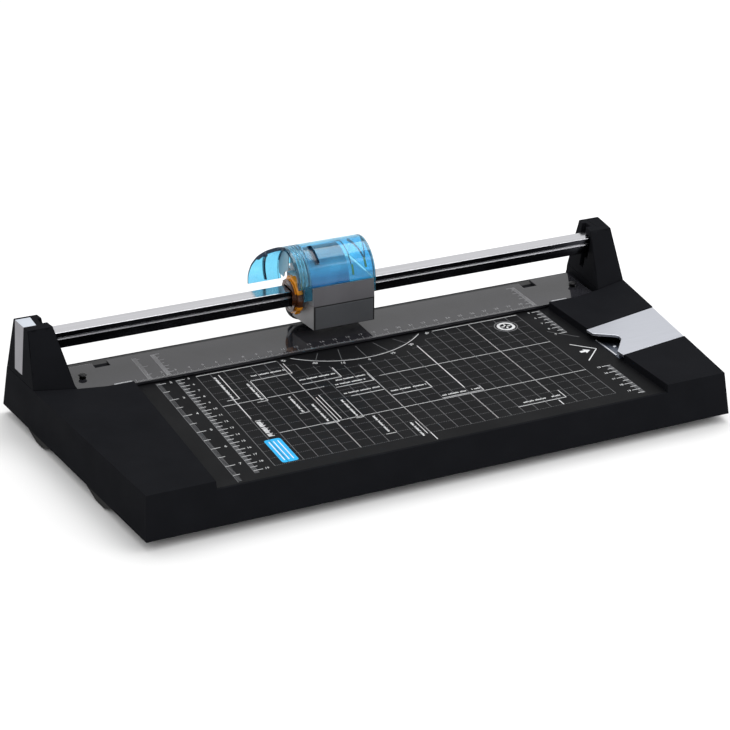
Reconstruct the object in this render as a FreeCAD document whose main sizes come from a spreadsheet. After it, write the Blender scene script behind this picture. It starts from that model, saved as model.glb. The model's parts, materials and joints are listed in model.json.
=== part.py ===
"""Rotary paper trimmer, A4 class: a parametric model of every separate piece.

Millimetres, +Z up.  The origin is the bottom centre of the bounding box: X runs along
the guide rail, +Y points to the back, and Z = 0 is the surface that the feet stand on.
"""
import FreeCAD, Part
import os
import Sketcher

OUT = "parts"
os.makedirs(OUT, exist_ok=True)
doc = FreeCAD.newDocument("rotary_trimmer")
V = FreeCAD.Vector

# ------------------------------------------------------------------ driving dimensions
DIMENSIONS = {
    # base casing
    "foot_height": 6.0, "deck_level": 30.0, "platform_level": 35.5, "tower_level": 72.0,
    "front_foot_line": -109.5, "front_top_line": -104.25, "rear_line": 109.5,
    "half_front": 209.4, "flare": 0.123, "side_draft": 0.114, "rear_lean": 0.107,
    "deck_half": 163.5, "deck_taper": 0.034, "channel_front": 49.0,
    "channel_corner": 182.0, "channel_half": 202.6, "channel_flare": 0.075,
    "rear_relief": 102.8,
    "wall": 3.0, "roof_level": 26.5, "platform_roof": 32.5, "plate_thick": 2.0,
    "plate_inset": 2.5, "boss_outer": 4.0, "boss_hole": 1.35,
    "screw_shank": 1.25, "screw_head": 2.6, "screw_head_thick": 1.5,
    "mat_thick": 1.2, "mat_front": -103.4, "mat_rear": 94.0, "mat_margin": 0.7,
    "strip_thick": 2.0, "strip_half": 199.0, "cut_line": 98.0, "strip_width": 7.0,
    "foot_width": 16.0, "foot_nose": 13.0, "foot_heel": 17.0, "foot_inset": 0.3,
    # towers
    "tower_lean": 0.15, "inner_lean": 0.17, "rear_inner_lean": 0.17,
    "tower_front_inner": 53.4, "tower_front_outer": 62.0, "tower_top_front": 79.0,
    "cap_front": 85.7, "cap_rear": 100.0, "cap_inner": 218.3, "cap_outer": 245.0,
    "cap_foot_front": 81.5, "cap_foot_rear": 93.6, "cap_bottom": 39.0, "cap_thick": 1.8,
    "pocket_gap": 0.6, "pocket_end": 222.4, "pocket_floor": 50.5, "pocket_roof": 67.6,
    "slot_front": 87.6, "slot_rear": 95.6, "slot_floor": 60.0, "slot_depth": 214.5,
    "guide_front": 81.5, "guide_rear": 87.5, "guide_floor": 42.0,
    "spring_bore": 4.6, "spring_x": 218.3, "spring_floor": 37.0, "spring_outer": 4.1,
    "spring_inner": 3.2,
    # guide rail and its sprung ends
    "rail_depth": 12.6, "rail_height": 11.5, "rail_y": 84.5, "rail_z": 61.05,
    "rail_half": 216.0, "rail_groove": 0.8, "groove_low": 61.8, "groove_high": 63.2,
    "end_block_thick": 5.4, "end_block_half": 6.3, "end_block_low": 54.0,
    "end_block_high": 67.0,
    # paper clamp
    "clamp_front": 51.0, "clamp_rear": 93.8, "clamp_rear_left": 92.6,
    "clamp_rear_right": 96.2, "clamp_half": 200.5, "clamp_thick": 2.0,
    "clamp_gap": 0.8, "clamp_corner": 56.0, "clamp_pin_x": 192.0, "clamp_pin_y": 73.0,
    "clamp_pin": 2.0, "clamp_hole": 2.4, "clamp_pin_head": 2.9, "clamp_lift": 1.9,
    "notch_depth": 84.5, "notch_left": -179.3, "notch_right": 156.8, "notch_width": 11.2,
    "tab_thick": 0.6, "tab_front": 50.0, "tab_rear": 54.5, "washer_thick": 0.5,
    # cutter head
    "head_half": 23.75, "head_front": 64.75, "head_shoulder": 66.2, "head_rear": 112.5,
    "head_rear_bottom": 103.0, "head_bottom": 39.7, "head_split": 71.5,
    "crease_level": 58.0, "rear_chamfer": 52.0, "head_flare": 4.3,
    "tunnel_depth": 18.0, "tunnel_height": 17.0, "bush_gap": 0.08, "bush_length": 10.0,
    "bush_inset": 1.5, "rail_gap": 0.6,
    "hub_outer": 10.2, "hub_end": 34.6, "dial_gap": 0.06, "dial_outer": 14.2,
    "dial_left": 32.8, "dial_right": 28.6, "clip_outer": 11.6, "clip_thick": 0.9,
    "cover_y": 89.25, "cover_outer": 23.5, "cover_inner": 21.7, "cover_right": 25.0,
    "cover_left": 34.5, "cover_gap": 0.35, "cover_end_thick": 1.6,
    "flap_left": 55.0, "flap_right": 29.5, "flap_low": 63.0, "flap_front": 96.0,
    "fin_right": 44.0, "fin_thick": 1.6, "tab_gap": 0.35, "tab_low": 62.5,
    "left_tab_edge": 30.0,
    "cover_slot_left": -19.3, "cover_slot_right": -15.7,
    "pin_y": 110.0, "pin_z": 69.3, "pin_radius": 1.2, "pin_gap": 0.05,
    "knuckle_outer": 2.3, "knuckle_half": 12.0,
    "magazine_outer": 18.9, "magazine_right": 5.5, "magazine_well": 14.3,
    "lid_outer": 20.6, "lid_inner": 19.1,
    "spare_radius": 14.0, "spare_thick": 0.6, "spare_x": -8.9,
    "blade_x": -17.5, "blade_outer": 14.0, "blade_thick": 0.6, "blade_z": 47.75,
    "blade_bore": 4.0, "blade_hub": 6.5, "axle_radius": 2.0, "axle_gap": 0.05,
    "recess_front": 95.4, "recess_rear": 101.2, "recess_radius": 15.2,
    "guard_radius": 13.2, "guard_front": 101.2, "guard_rear": 103.0,
    "axle_head": 3.6, "axle_head_front": 106.0, "axle_head_rear": 107.8,
    # corner rounder
    "lever_thick": 2.0, "pivot_x": 214.0, "pivot_z": 31.9,
    "pivot_radius": 1.0, "lug_half": 2.4, "die_low": 27.5, "punch_gap": 0.4,
    "punch_low": 30.5, "lever_spring_x": 196.0, "lever_spring_y": -20.0,
    "lever_spring_outer": 4.0, "lever_spring_inner": 3.1, "lever_spring_floor": 27.6,
}


class Size:
    """A length that knows its value and its spreadsheet expression."""

    def __init__(self, value, text=None):
        self.value = float(value)
        self.text = text if text else repr(float(value))

    def combine(self, other, sign, value):
        return Size(value, "(%s %s %s)" % (self.text, sign, other.text))

    def __add__(self, other):
        other = size(other)
        return self.combine(other, "+", self.value + other.value)

    def __sub__(self, other):
        other = size(other)
        return self.combine(other, "-", self.value - other.value)

    def __mul__(self, other):
        other = size(other)
        return self.combine(other, "*", self.value * other.value)

    def __truediv__(self, other):
        other = size(other)
        return self.combine(other, "/", self.value / other.value)

    def __neg__(self):
        return size(0) - self

    def __radd__(self, other):
        return size(other) + self

    def __rsub__(self, other):
        return size(other) - self

    def __rmul__(self, other):
        return size(other) * self


def size(number):
    """Turn a plain number into a Size; a Size stays as it is."""
    return number if isinstance(number, Size) else Size(number)


class Dimensions:
    """The spreadsheet's cells, one attribute per alias."""


d = Dimensions()
sheet = doc.addObject("Spreadsheet::Sheet", "Dimensions")
for row, (alias, number) in enumerate(DIMENSIONS.items(), start=1):
    sheet.set("A%d" % row, alias)
    sheet.set("B%d" % row, str(number))
    sheet.setAlias("B%d" % row, alias)
    setattr(d, alias, Size(number, "Dimensions." + alias))
doc.recompute()

PIECES = []


def piece(obj, label):
    """Name a finished piece; the name is also its file's name."""
    obj.Label = label
    PIECES.append(obj)
    return obj


# ------------------------------------------------------------------ primitives
def bind(obj, prop, amount):
    obj.setExpression(prop, size(amount).text)


def place(obj, x, y, z):
    for axis, amount in zip("xyz", (x, y, z)):
        bind(obj, "Placement.Base." + axis, amount)


def box(name, x_span, y_span, z_span):
    """A box between two planes along each axis."""
    obj = doc.addObject("Part::Box", name)
    lows = []
    for prop, (low, high) in zip(("Length", "Width", "Height"), (x_span, y_span, z_span)):
        bind(obj, prop, size(high) - low)
        lows.append(low)
    place(obj, *lows)
    return obj


TURNS = {"x": FreeCAD.Rotation(V(0, 1, 0), 90), "y": FreeCAD.Rotation(V(1, 0, 0), -90),
         "z": FreeCAD.Rotation()}


def rod(name, radius, span, centre, axis):
    """A cylinder along an axis, from span[0] to span[1], round the other two places."""
    obj = doc.addObject("Part::Cylinder", name)
    bind(obj, "Radius", radius)
    bind(obj, "Height", size(span[1]) - span[0])
    where = list(centre)
    where.insert("xyz".index(axis), span[0])
    obj.Placement = FreeCAD.Placement(V(), TURNS[axis])
    place(obj, *where)
    return obj


def fuse(name, *shapes):
    obj = doc.addObject("Part::MultiFuse", name)
    obj.Shapes = list(shapes)
    return obj


def cut(name, base, *tools):
    obj = doc.addObject("Part::Cut", name)
    obj.Base = base
    obj.Tool = tools[0] if len(tools) == 1 else fuse(name + "_tools", *tools)
    return obj


def common(name, one, two):
    obj = doc.addObject("Part::Common", name)
    obj.Base = one
    obj.Tool = two
    return obj


def tube(name, outer, inner, span, centre, axis):
    return cut(name, rod(name + "_outer", outer, span, centre, axis),
               rod(name + "_inner", inner, (size(span[0]) - 1, size(span[1]) + 1),
                   centre, axis))


def feature(name, shape):
    """A shape made in code, for forms that no primitive or sketch gives."""
    obj = doc.addObject("Part::Feature", name)
    obj.Shape = shape
    return obj


# ------------------------------------------------------------------ sketched bodies
def origin_plane(body, role):
    for item in body.Origin.OriginFeatures:
        if item.Role == role:
            return item
    raise ValueError(role)


def sketch(body, name, role, offset, loops=(), circles=()):
    """Closed loops of corner points, and circles, on one of the body's origin planes."""
    sk = body.newObject("Sketcher::SketchObject", name)
    sk.AttachmentSupport = [(origin_plane(body, role), "")]
    sk.MapMode = "FlatFace"
    bind(sk, "AttachmentOffset.Base.z", offset)
    for loop in loops:
        corners = [(size(u), size(v)) for u, v in loop]
        first = sk.GeometryCount
        for index, (u, v) in enumerate(corners):
            u2, v2 = corners[(index + 1) % len(corners)]
            sk.addGeometry(Part.LineSegment(V(u.value, v.value, 0),
                                            V(u2.value, v2.value, 0)), False)
        for index, (u, v) in enumerate(corners):
            line = first + index
            after = first + (index + 1) % len(corners)
            sk.addConstraint(Sketcher.Constraint("Coincident", line, 2, after, 1))
            tie(sk, "DistanceX", line, 1, u)
            tie(sk, "DistanceY", line, 1, v)
    for u, v, radius in circles:
        u, v, radius = size(u), size(v), size(radius)
        ring = sk.addGeometry(Part.Circle(V(u.value, v.value, 0), V(0, 0, 1),
                                          radius.value), False)
        tie(sk, "DistanceX", ring, 3, u)
        tie(sk, "DistanceY", ring, 3, v)
        index = sk.addConstraint(Sketcher.Constraint("Radius", ring, radius.value))
        sk.setExpression("Constraints[%d]" % index, radius.text)
    return sk


def tie(sk, kind, line, end, amount):
    """Hold one end of a line at a distance from the origin."""
    index = sk.addConstraint(Sketcher.Constraint(kind, -1, 1, line, end, amount.value))
    sk.setExpression("Constraints[%d]" % index, amount.text)


def new_body(name):
    return doc.addObject("PartDesign::Body", name)


def pad(body, sk, length, backwards=False):
    obj = body.newObject("PartDesign::Pad", sk.Name + "_pad")
    obj.Profile = sk
    bind(obj, "Length", length)
    obj.Reversed = backwards
    return obj


def pocket(body, sk, length, upwards=False):
    """Cut along the sketch's own normal when upwards, else against it."""
    before = volume(body)
    obj = body.newObject("PartDesign::Pocket", sk.Name + "_cut")
    obj.Profile = sk
    bind(obj, "Length", length)
    obj.Reversed = upwards
    if volume(body) >= before:
        raise RuntimeError(obj.Name + " cuts nothing")
    return obj


def loft(body, low, high):
    obj = body.newObject("PartDesign::AdditiveLoft", low.Name + "_loft")
    obj.Profile = low
    obj.Sections = [high]
    obj.Ruled = True
    return obj


def volume(body):
    doc.recompute()
    return body.Shape.Volume if not body.Shape.isNull() else 0.0


def mirror_x(points):
    """The same outline on the other side of the YZ plane."""
    return [(-size(u), v) for u, v in reversed(points)]


# ------------------------------------------------------------------ shared outlines
def half_width(y, z):
    """Half the casing's width below the platform level."""
    return (d.half_front + d.flare * (y - d.front_top_line)
            + d.side_draft * (d.platform_level - z))


def channel_edge(y):
    """Half the gap between the towers, which opens a little towards the back."""
    return d.channel_half + d.channel_flare * (y - d.tower_front_inner)


def deck_edge(y):
    """The right platform's inner edge, which closes in a little towards the back."""
    return d.deck_half - d.deck_taper * (y - d.front_top_line)


def trapezoid(front, rear, half):
    return [(-half(front), front), (half(front), front), (half(rear), rear),
            (-half(rear), rear)]


rear_top_line = d.rear_line - d.rear_lean * (d.platform_level - d.foot_height)
plate_top = d.foot_height + d.plate_thick
rail_front = d.rail_y - d.rail_depth / 2
rail_rear = d.rail_y + d.rail_depth / 2
rail_low = d.rail_z - d.rail_height / 2
rail_high = d.rail_z + d.rail_height / 2
FAR = 130.0

LEVER_OUTLINE = [(158.8, -4.6), (159.5, -11.9), (172.6, -20.6), (174.2, -23.0),
                 (173.6, -27.6), (165.3, -38.2), (160.4, -44.2), (161.0, -51.0),
                 (216.6, -41.7), (222.9, 9.6)]
LEVER_SKIRT = [(215.4, -41.7), (216.6, -41.7), (222.9, 9.6), (221.7, 9.6)]
LEVER_POCKET = [(152.0, -5.5), (158.9, -4.0), (230.0, 12.2), (230.0, -39.8),
                (161.0, -51.6), (152.0, -50.0)]
HEAD_SCREWS = [(-19.0, 60.0), (19.0, 60.0), (19.0, 53.5)]
TALL_PLACES = [(-190.0, -90.0), (190.0, -90.0)]
SCREW_PLACES = [(-190.0, -90.0), (-70.0, -92.0), (70.0, -92.0), (190.0, -90.0),
                (-196.0, 84.0), (-70.0, 88.0), (70.0, 88.0), (196.0, 84.0)]


# ------------------------------------------------------------------ base casing
def make_base_shell():
    body = new_body("base_shell_body")
    low = sketch(body, "casing_foot", "XY_Plane", d.foot_height,
                 [trapezoid(d.front_foot_line, d.rear_line,
                            lambda y: half_width(y, d.foot_height))])
    high = sketch(body, "casing_top", "XY_Plane", d.platform_level,
                  [trapezoid(d.front_top_line, rear_top_line,
                             lambda y: half_width(y, d.platform_level))])
    loft(body, low, high)
    deck = [(-d.deck_half, -FAR), (d.deck_half, -FAR), (d.deck_half, d.front_top_line),
            (deck_edge(d.channel_front), d.channel_front),
            (d.channel_corner, d.channel_front), (d.channel_half, d.tower_front_inner),
            (channel_edge(FAR), FAR), (-channel_edge(FAR), FAR),
            (-d.channel_half, d.tower_front_inner), (-d.channel_corner, d.channel_front),
            (-d.deck_half, d.channel_front)]
    pocket(body, sketch(body, "deck", "XY_Plane", d.platform_level, [deck]),
           d.platform_level - d.deck_level)
    edge = channel_edge(d.rear_relief)
    relief = rectangle(-edge, edge, d.rear_relief, FAR)
    pocket(body, sketch(body, "relief", "XY_Plane", d.deck_level, [relief]), d.deck_level)
    pocket(body, sketch(body, "mat_seat", "XY_Plane", d.deck_level, [mat_outline()]),
           d.mat_thick)
    pocket(body, sketch(body, "strip_seat", "XY_Plane", d.deck_level, [strip_outline()]),
           d.strip_thick)
    pocket(body, sketch(body, "lever_seat", "XY_Plane", d.platform_level,
                        [LEVER_POCKET]), d.platform_level - d.deck_level)
    pocket(body, sketch(body, "die_seat", "XY_Plane", d.deck_level, [DIE_OUTLINE]),
           d.deck_level - d.die_low)
    pocket(body, sketch(body, "plate_seat", "XY_Plane", d.foot_height,
                        [plate_outline()]), d.plate_thick, True)
    cavity = trapezoid(d.front_top_line + d.wall, d.rear_relief - d.wall,
                       lambda y: half_width(y, d.platform_level) - d.wall)
    pocket(body, sketch(body, "cavity", "XY_Plane", d.foot_height, [cavity]),
           d.roof_level - d.foot_height, True)
    pocket(body, sketch(body, "platform_cavities", "XY_Plane", d.roof_level - 1,
                        platform_cavities()), d.platform_roof - d.roof_level + 1, True)
    bosses = sketch(body, "bosses", "XY_Plane", plate_top,
                    circles=[(x, y, d.boss_outer) for x, y in SCREW_PLACES])
    pad(body, bosses, d.roof_level + 0.2 - plate_top)
    corners = sketch(body, "tall_bosses", "XY_Plane", d.roof_level,
                     circles=[(x, y, d.boss_outer) for x, y in TALL_PLACES])
    pad(body, corners, d.platform_roof + 0.2 - d.roof_level)
    bores = sketch(body, "boss_bores", "XY_Plane", plate_top,
                   circles=[(x, y, d.boss_hole) for x, y in SCREW_PLACES])
    pocket(body, bores, d.roof_level - 5 - plate_top, True)
    wells = sketch(body, "spring_well", "XY_Plane", d.deck_level + 0.5,
                   circles=[(d.lever_spring_x, d.lever_spring_y,
                             d.lever_spring_outer + 0.6)])
    pocket(body, wells, d.deck_level + 0.5 - d.lever_spring_floor)
    cradle = [[(d.pivot_x - d.lug_half, y), (d.pivot_x + d.lug_half, y),
               (d.pivot_x + d.lug_half, y + 3), (d.pivot_x - d.lug_half, y + 3)]
              for y in (-28.5, -9.5)]
    pad(body, sketch(body, "cradles", "XY_Plane", d.deck_level - 0.2, cradle),
        d.pivot_z - d.deck_level + 0.2)
    saddle = sketch(body, "saddles", "XZ_Plane", 40.0,
                    circles=[(d.pivot_x, d.pivot_z, d.pivot_radius + 0.05)])
    pocket(body, saddle, 48.0)
    return piece(body, "base_shell")


def mat_outline():
    inner = d.mat_margin
    return [(-d.deck_half + inner, d.mat_front), (d.deck_half - inner, d.mat_front),
            (deck_edge(d.channel_front) - inner, d.channel_front),
            (deck_edge(d.channel_front) - inner, d.mat_rear),
            (-d.deck_half + inner, d.mat_rear)]


def strip_outline():
    front = d.cut_line - d.strip_width / 2
    rear = d.cut_line + d.strip_width / 2
    return [(-d.strip_half, front), (d.strip_half, front), (d.strip_half, rear),
            (-d.strip_half, rear)]


def plate_outline():
    return trapezoid(d.front_foot_line + d.plate_inset, d.rear_relief - 2,
                     lambda y: half_width(y, d.foot_height) - d.plate_inset)


def platform_cavities():
    """Hollows under the platforms; the corner rounder keeps its floor between two."""
    front = d.front_top_line + d.wall
    edge = d.deck_half + d.wall

    def outer(y):
        return half_width(size(y), d.platform_level) - d.wall

    def bay(low, high):
        return [(edge, low), (outer(low), low), (outer(high), high), (edge, high)]

    return [mirror_x(bay(front, 44.0)), bay(front, -56.0), bay(16.0, 44.0)]


DIE_OUTLINE = [(161.4, -46.0), (187.0, -46.0), (187.0, -10.0), (161.4, -10.0)]
PUNCH_OUTLINE = [(176.0, -33.0), (179.0, -36.0), (184.0, -36.0), (184.0, -19.0),
                 (179.0, -19.0), (176.0, -22.0), (175.2, -27.5)]


def make_flat(label, outline, level, thick, circles=()):
    """A flat piece padded up from one level."""
    body = new_body(label + "_body")
    pad(body, sketch(body, label + "_outline", "XY_Plane", level, [outline], circles),
        thick)
    return piece(body, label)


def make_bottom_plate():
    holes = [(x, y, d.boss_hole) for x, y in SCREW_PLACES]
    make_flat("bottom_plate", plate_outline(), d.foot_height, d.plate_thick, holes)


def foot_outline(side, front, rear):
    """A foot's outline along the casing's lower edge, from front to rear."""
    front_edge = half_width(front, d.foot_height) - d.foot_inset
    rear_edge = half_width(rear, d.foot_height) - d.foot_inset
    return [(side * (front_edge - d.foot_width), front), (side * front_edge, front),
            (side * rear_edge, rear), (side * (rear_edge - d.foot_width), rear)]


def make_feet():
    """Four rubber blocks under the side walls, sloped at the nose and the heel."""
    for label, side, front, rear in (("foot_front_left", -1, -62, -20),
                                     ("foot_front_right", 1, -62, -20),
                                     ("foot_rear_left", -1, 32, 72),
                                     ("foot_rear_right", 1, 32, 72)):
        body = new_body(label + "_body")
        sole = foot_outline(side, size(front) + d.foot_nose, size(rear) - d.foot_heel)
        low = sketch(body, label + "_sole", "XY_Plane", 0, [sole])
        high = sketch(body, label + "_top", "XY_Plane", d.foot_height,
                      [foot_outline(side, size(front), size(rear))])
        loft(body, low, high)
        piece(body, label)


def make_base_screws():
    screws = []
    for index, (x, y) in enumerate(SCREW_PLACES):
        head = rod("base_screw_head_%d" % index, d.screw_head,
                   (d.foot_height - d.screw_head_thick, d.foot_height), (x, y), "z")
        shank = rod("base_screw_shank_%d" % index, d.screw_shank,
                    (d.foot_height, d.roof_level - 6), (x, y), "z")
        screws += [head, shank]
    piece(fuse("base_screws_all", *screws), "base_screws")


# ------------------------------------------------------------------ towers
def tower_form(side):
    """The tapered tower body: leaning on all four sides, with a twisted front."""
    z0, z1 = d.platform_level.value, d.tower_level.value
    rise = z1 - z0
    rear0 = rear_top_line.value
    rear1 = rear0 - d.rear_lean.value * rise
    inner0 = d.channel_half.value
    inner1 = inner0 + d.inner_lean.value * rise
    rear_inner0 = channel_edge(rear_top_line).value
    rear_inner1 = rear_inner0 + d.rear_inner_lean.value * rise

    def outer(y, z):
        return half_width(size(y), d.platform_level).value - d.tower_lean.value * (z - z0)

    front_inner, front_outer = d.tower_front_inner.value, d.tower_front_outer.value
    top_front = d.tower_top_front.value
    low = [(inner0, front_inner), (outer(front_outer, z0), front_outer),
           (outer(rear0, z0), rear0), (rear_inner0, rear0)]
    high = [(inner1, top_front), (outer(top_front, z1), top_front),
            (outer(rear1, z1), rear1), (rear_inner1, rear1)]
    wires = []
    for outline, z in ((low, z0), (high, z1)):
        points = [V(side * x, y, z) for x, y in outline]
        wires.append(Part.makePolygon(points + points[:1]))
    return Part.makeLoft(wires, True, True)


def sided(side, low, high):
    """An X span on the right side, or its mirror image on the left."""
    return (low, high) if side > 0 else (-size(high), -size(low))


def cap_zone_form(side):
    """The space that holds a tower's cap; its edges lean forward towards the foot."""
    above = d.tower_level.value + 8
    outline = [(d.cap_front, above), (d.cap_rear, above), (d.cap_rear, d.tower_level),
               (d.cap_foot_rear, d.cap_bottom), (d.cap_foot_front, d.cap_bottom),
               (d.cap_front, d.tower_level)]
    inner = side * d.cap_inner.value
    points = [V(inner, size(y).value, size(z).value) for y, z in outline]
    face = Part.Face(Part.makePolygon(points + points[:1]))
    return face.extrude(V(side * (d.cap_outer.value - d.cap_inner.value), 0, 0))


def make_tower(side, word):
    form = feature(word + "_tower_form", tower_form(side))
    drop = feature(word + "_tower_core", tower_form(side))
    drop.Placement = FreeCAD.Placement(V(-side * d.cap_thick.value, 0,
                                         -d.cap_thick.value), FreeCAD.Rotation())
    cap_zone = feature(word + "_cap_zone", cap_zone_form(side))
    cap = cut(word + "_cap_skin", common(word + "_cap_block", form, cap_zone), drop)
    piece(cap, word + "_tower_cap")

    rail_pocket = box(word + "_rail_pocket", sided(side, 195.0, d.pocket_end),
                      (rail_front - d.pocket_gap, rail_rear + d.pocket_gap),
                      (d.pocket_floor, d.pocket_roof))
    slot = box(word + "_slot", sided(side, 195.0, d.slot_depth),
               (d.slot_front, d.slot_rear), (d.slot_floor, 80.0))
    guide = box(word + "_guide", sided(side, 195.0, d.slot_depth),
                (d.guide_front, d.guide_rear), (d.guide_floor, d.pocket_floor + 1))
    bore = rod(word + "_spring_bore", d.spring_bore, (d.spring_floor, d.pocket_floor + 1),
               (side * d.spring_x, d.rail_y), "z")
    recess = common(word + "_cap_recess", form, cap_zone)
    recess = cut(word + "_cap_seat", recess, drop)
    tower = cut(word + "_tower_body", form, rail_pocket, slot, guide, bore, recess)
    piece(tower, word + "_tower")

    spring = tube(word + "_lift_spring_coil", d.spring_outer, d.spring_inner,
                  (d.spring_floor, d.end_block_low), (side * d.spring_x, d.rail_y), "z")
    piece(spring, word + "_lift_spring")


# ------------------------------------------------------------------ guide rail
def make_rail():
    body = new_body("guide_rail_body")
    depth = d.rail_groove
    profile = [(rail_front, rail_low), (rail_rear, rail_low),
               (rail_rear, d.groove_low), (rail_rear - depth, d.groove_low),
               (rail_rear - depth, d.groove_high), (rail_rear, d.groove_high),
               (rail_rear, rail_high), (rail_front, rail_high),
               (rail_front, d.groove_high), (rail_front + depth, d.groove_high),
               (rail_front + depth, d.groove_low), (rail_front, d.groove_low)]
    pad(body, sketch(body, "rail_profile", "YZ_Plane", -d.rail_half, [profile]),
        d.rail_half * 2)
    bores = sketch(body, "rail_end_bore", "YZ_Plane", -d.rail_half,
                   circles=[(d.rail_y, d.rail_z, 1.6)])
    pocket(body, bores, 12.0, True)
    bores = sketch(body, "rail_far_bore", "YZ_Plane", d.rail_half,
                   circles=[(d.rail_y, d.rail_z, 1.6)])
    pocket(body, bores, 12.0)
    piece(body, "guide_rail")
    screws = []
    for side, word in ((-1, "left"), (1, "right")):
        span = sided(side, d.rail_half, d.rail_half + d.end_block_thick)
        block = box(word + "_block_form", span,
                    (d.rail_y - d.end_block_half, d.rail_y + d.end_block_half),
                    (d.end_block_low, d.end_block_high))
        hole = rod(word + "_block_hole", 1.6, span, (d.rail_y, d.rail_z), "x")
        sink = rod(word + "_block_sink", 3.2,
                   sided(side, d.rail_half + d.end_block_thick - 2.2,
                         d.rail_half + d.end_block_thick + 1), (d.rail_y, d.rail_z), "x")
        piece(cut(word + "_block", block, hole, sink), word + "_end_block")
        screws.append(rod(word + "_rail_screw", 1.5,
                          sided(side, d.rail_half - 10, d.rail_half + 3.3),
                          (d.rail_y, d.rail_z), "x"))
        screws.append(rod(word + "_rail_screw_head", 3.0,
                          sided(side, d.rail_half + 3.3, d.rail_half + 5.0),
                          (d.rail_y, d.rail_z), "x"))
    piece(fuse("rail_end_screws_all", *screws), "rail_end_screws")


# ------------------------------------------------------------------ paper clamp
def make_clamp():
    low = d.deck_level + d.clamp_gap
    high = low + d.clamp_thick
    ends = d.clamp_half
    outline = [(-d.channel_corner, d.clamp_front), (d.channel_corner, d.clamp_front),
               (ends, d.clamp_corner), (ends, d.clamp_rear_right)]
    for left, rear_right, rear_left in (
            (d.notch_right, d.clamp_rear_right, d.clamp_rear),
            (d.notch_left, d.clamp_rear, d.clamp_rear_left)):
        right = left + d.notch_width
        outline += [(right, rear_right), (right, d.notch_depth), (left, d.notch_depth),
                    (left, rear_left)]
    outline += [(-ends, d.clamp_rear_left), (-ends, d.clamp_corner)]
    holes = [(side * d.clamp_pin_x, d.clamp_pin_y, d.clamp_hole) for side in (-1, 1)]
    make_flat("clamp_strip", outline, low, d.clamp_thick, holes)
    tabs = [box("clamp_tab_%d" % index, (x, x + width), (d.tab_front + 1.2, d.tab_rear),
                (high, high + d.tab_thick))
            for index, (x, width) in enumerate(((-176.0, 13.0), (163.0, 13.0)))]
    piece(fuse("clamp_tabs_all", *tabs), "clamp_tabs")
    pins = []
    washers = []
    for side in (-1, 1):
        place_xy = (side * d.clamp_pin_x, d.clamp_pin_y)
        top = high + d.clamp_lift
        pins.append(rod("clamp_pin_stem", d.clamp_pin, (d.deck_level, top + 0.2),
                        place_xy, "z"))
        pins.append(rod("clamp_pin_head", d.clamp_pin_head, (top + 0.2, top + 1.1),
                        place_xy, "z"))
        washers.append(tube("clamp_washer", d.clamp_pin_head + 1, d.clamp_hole + 0.2,
                            (d.deck_level, d.deck_level + d.washer_thick), place_xy, "z"))
    piece(fuse("clamp_pins_all", *pins), "clamp_pins")
    piece(fuse("clamp_springs_all", *washers), "clamp_springs")


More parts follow.
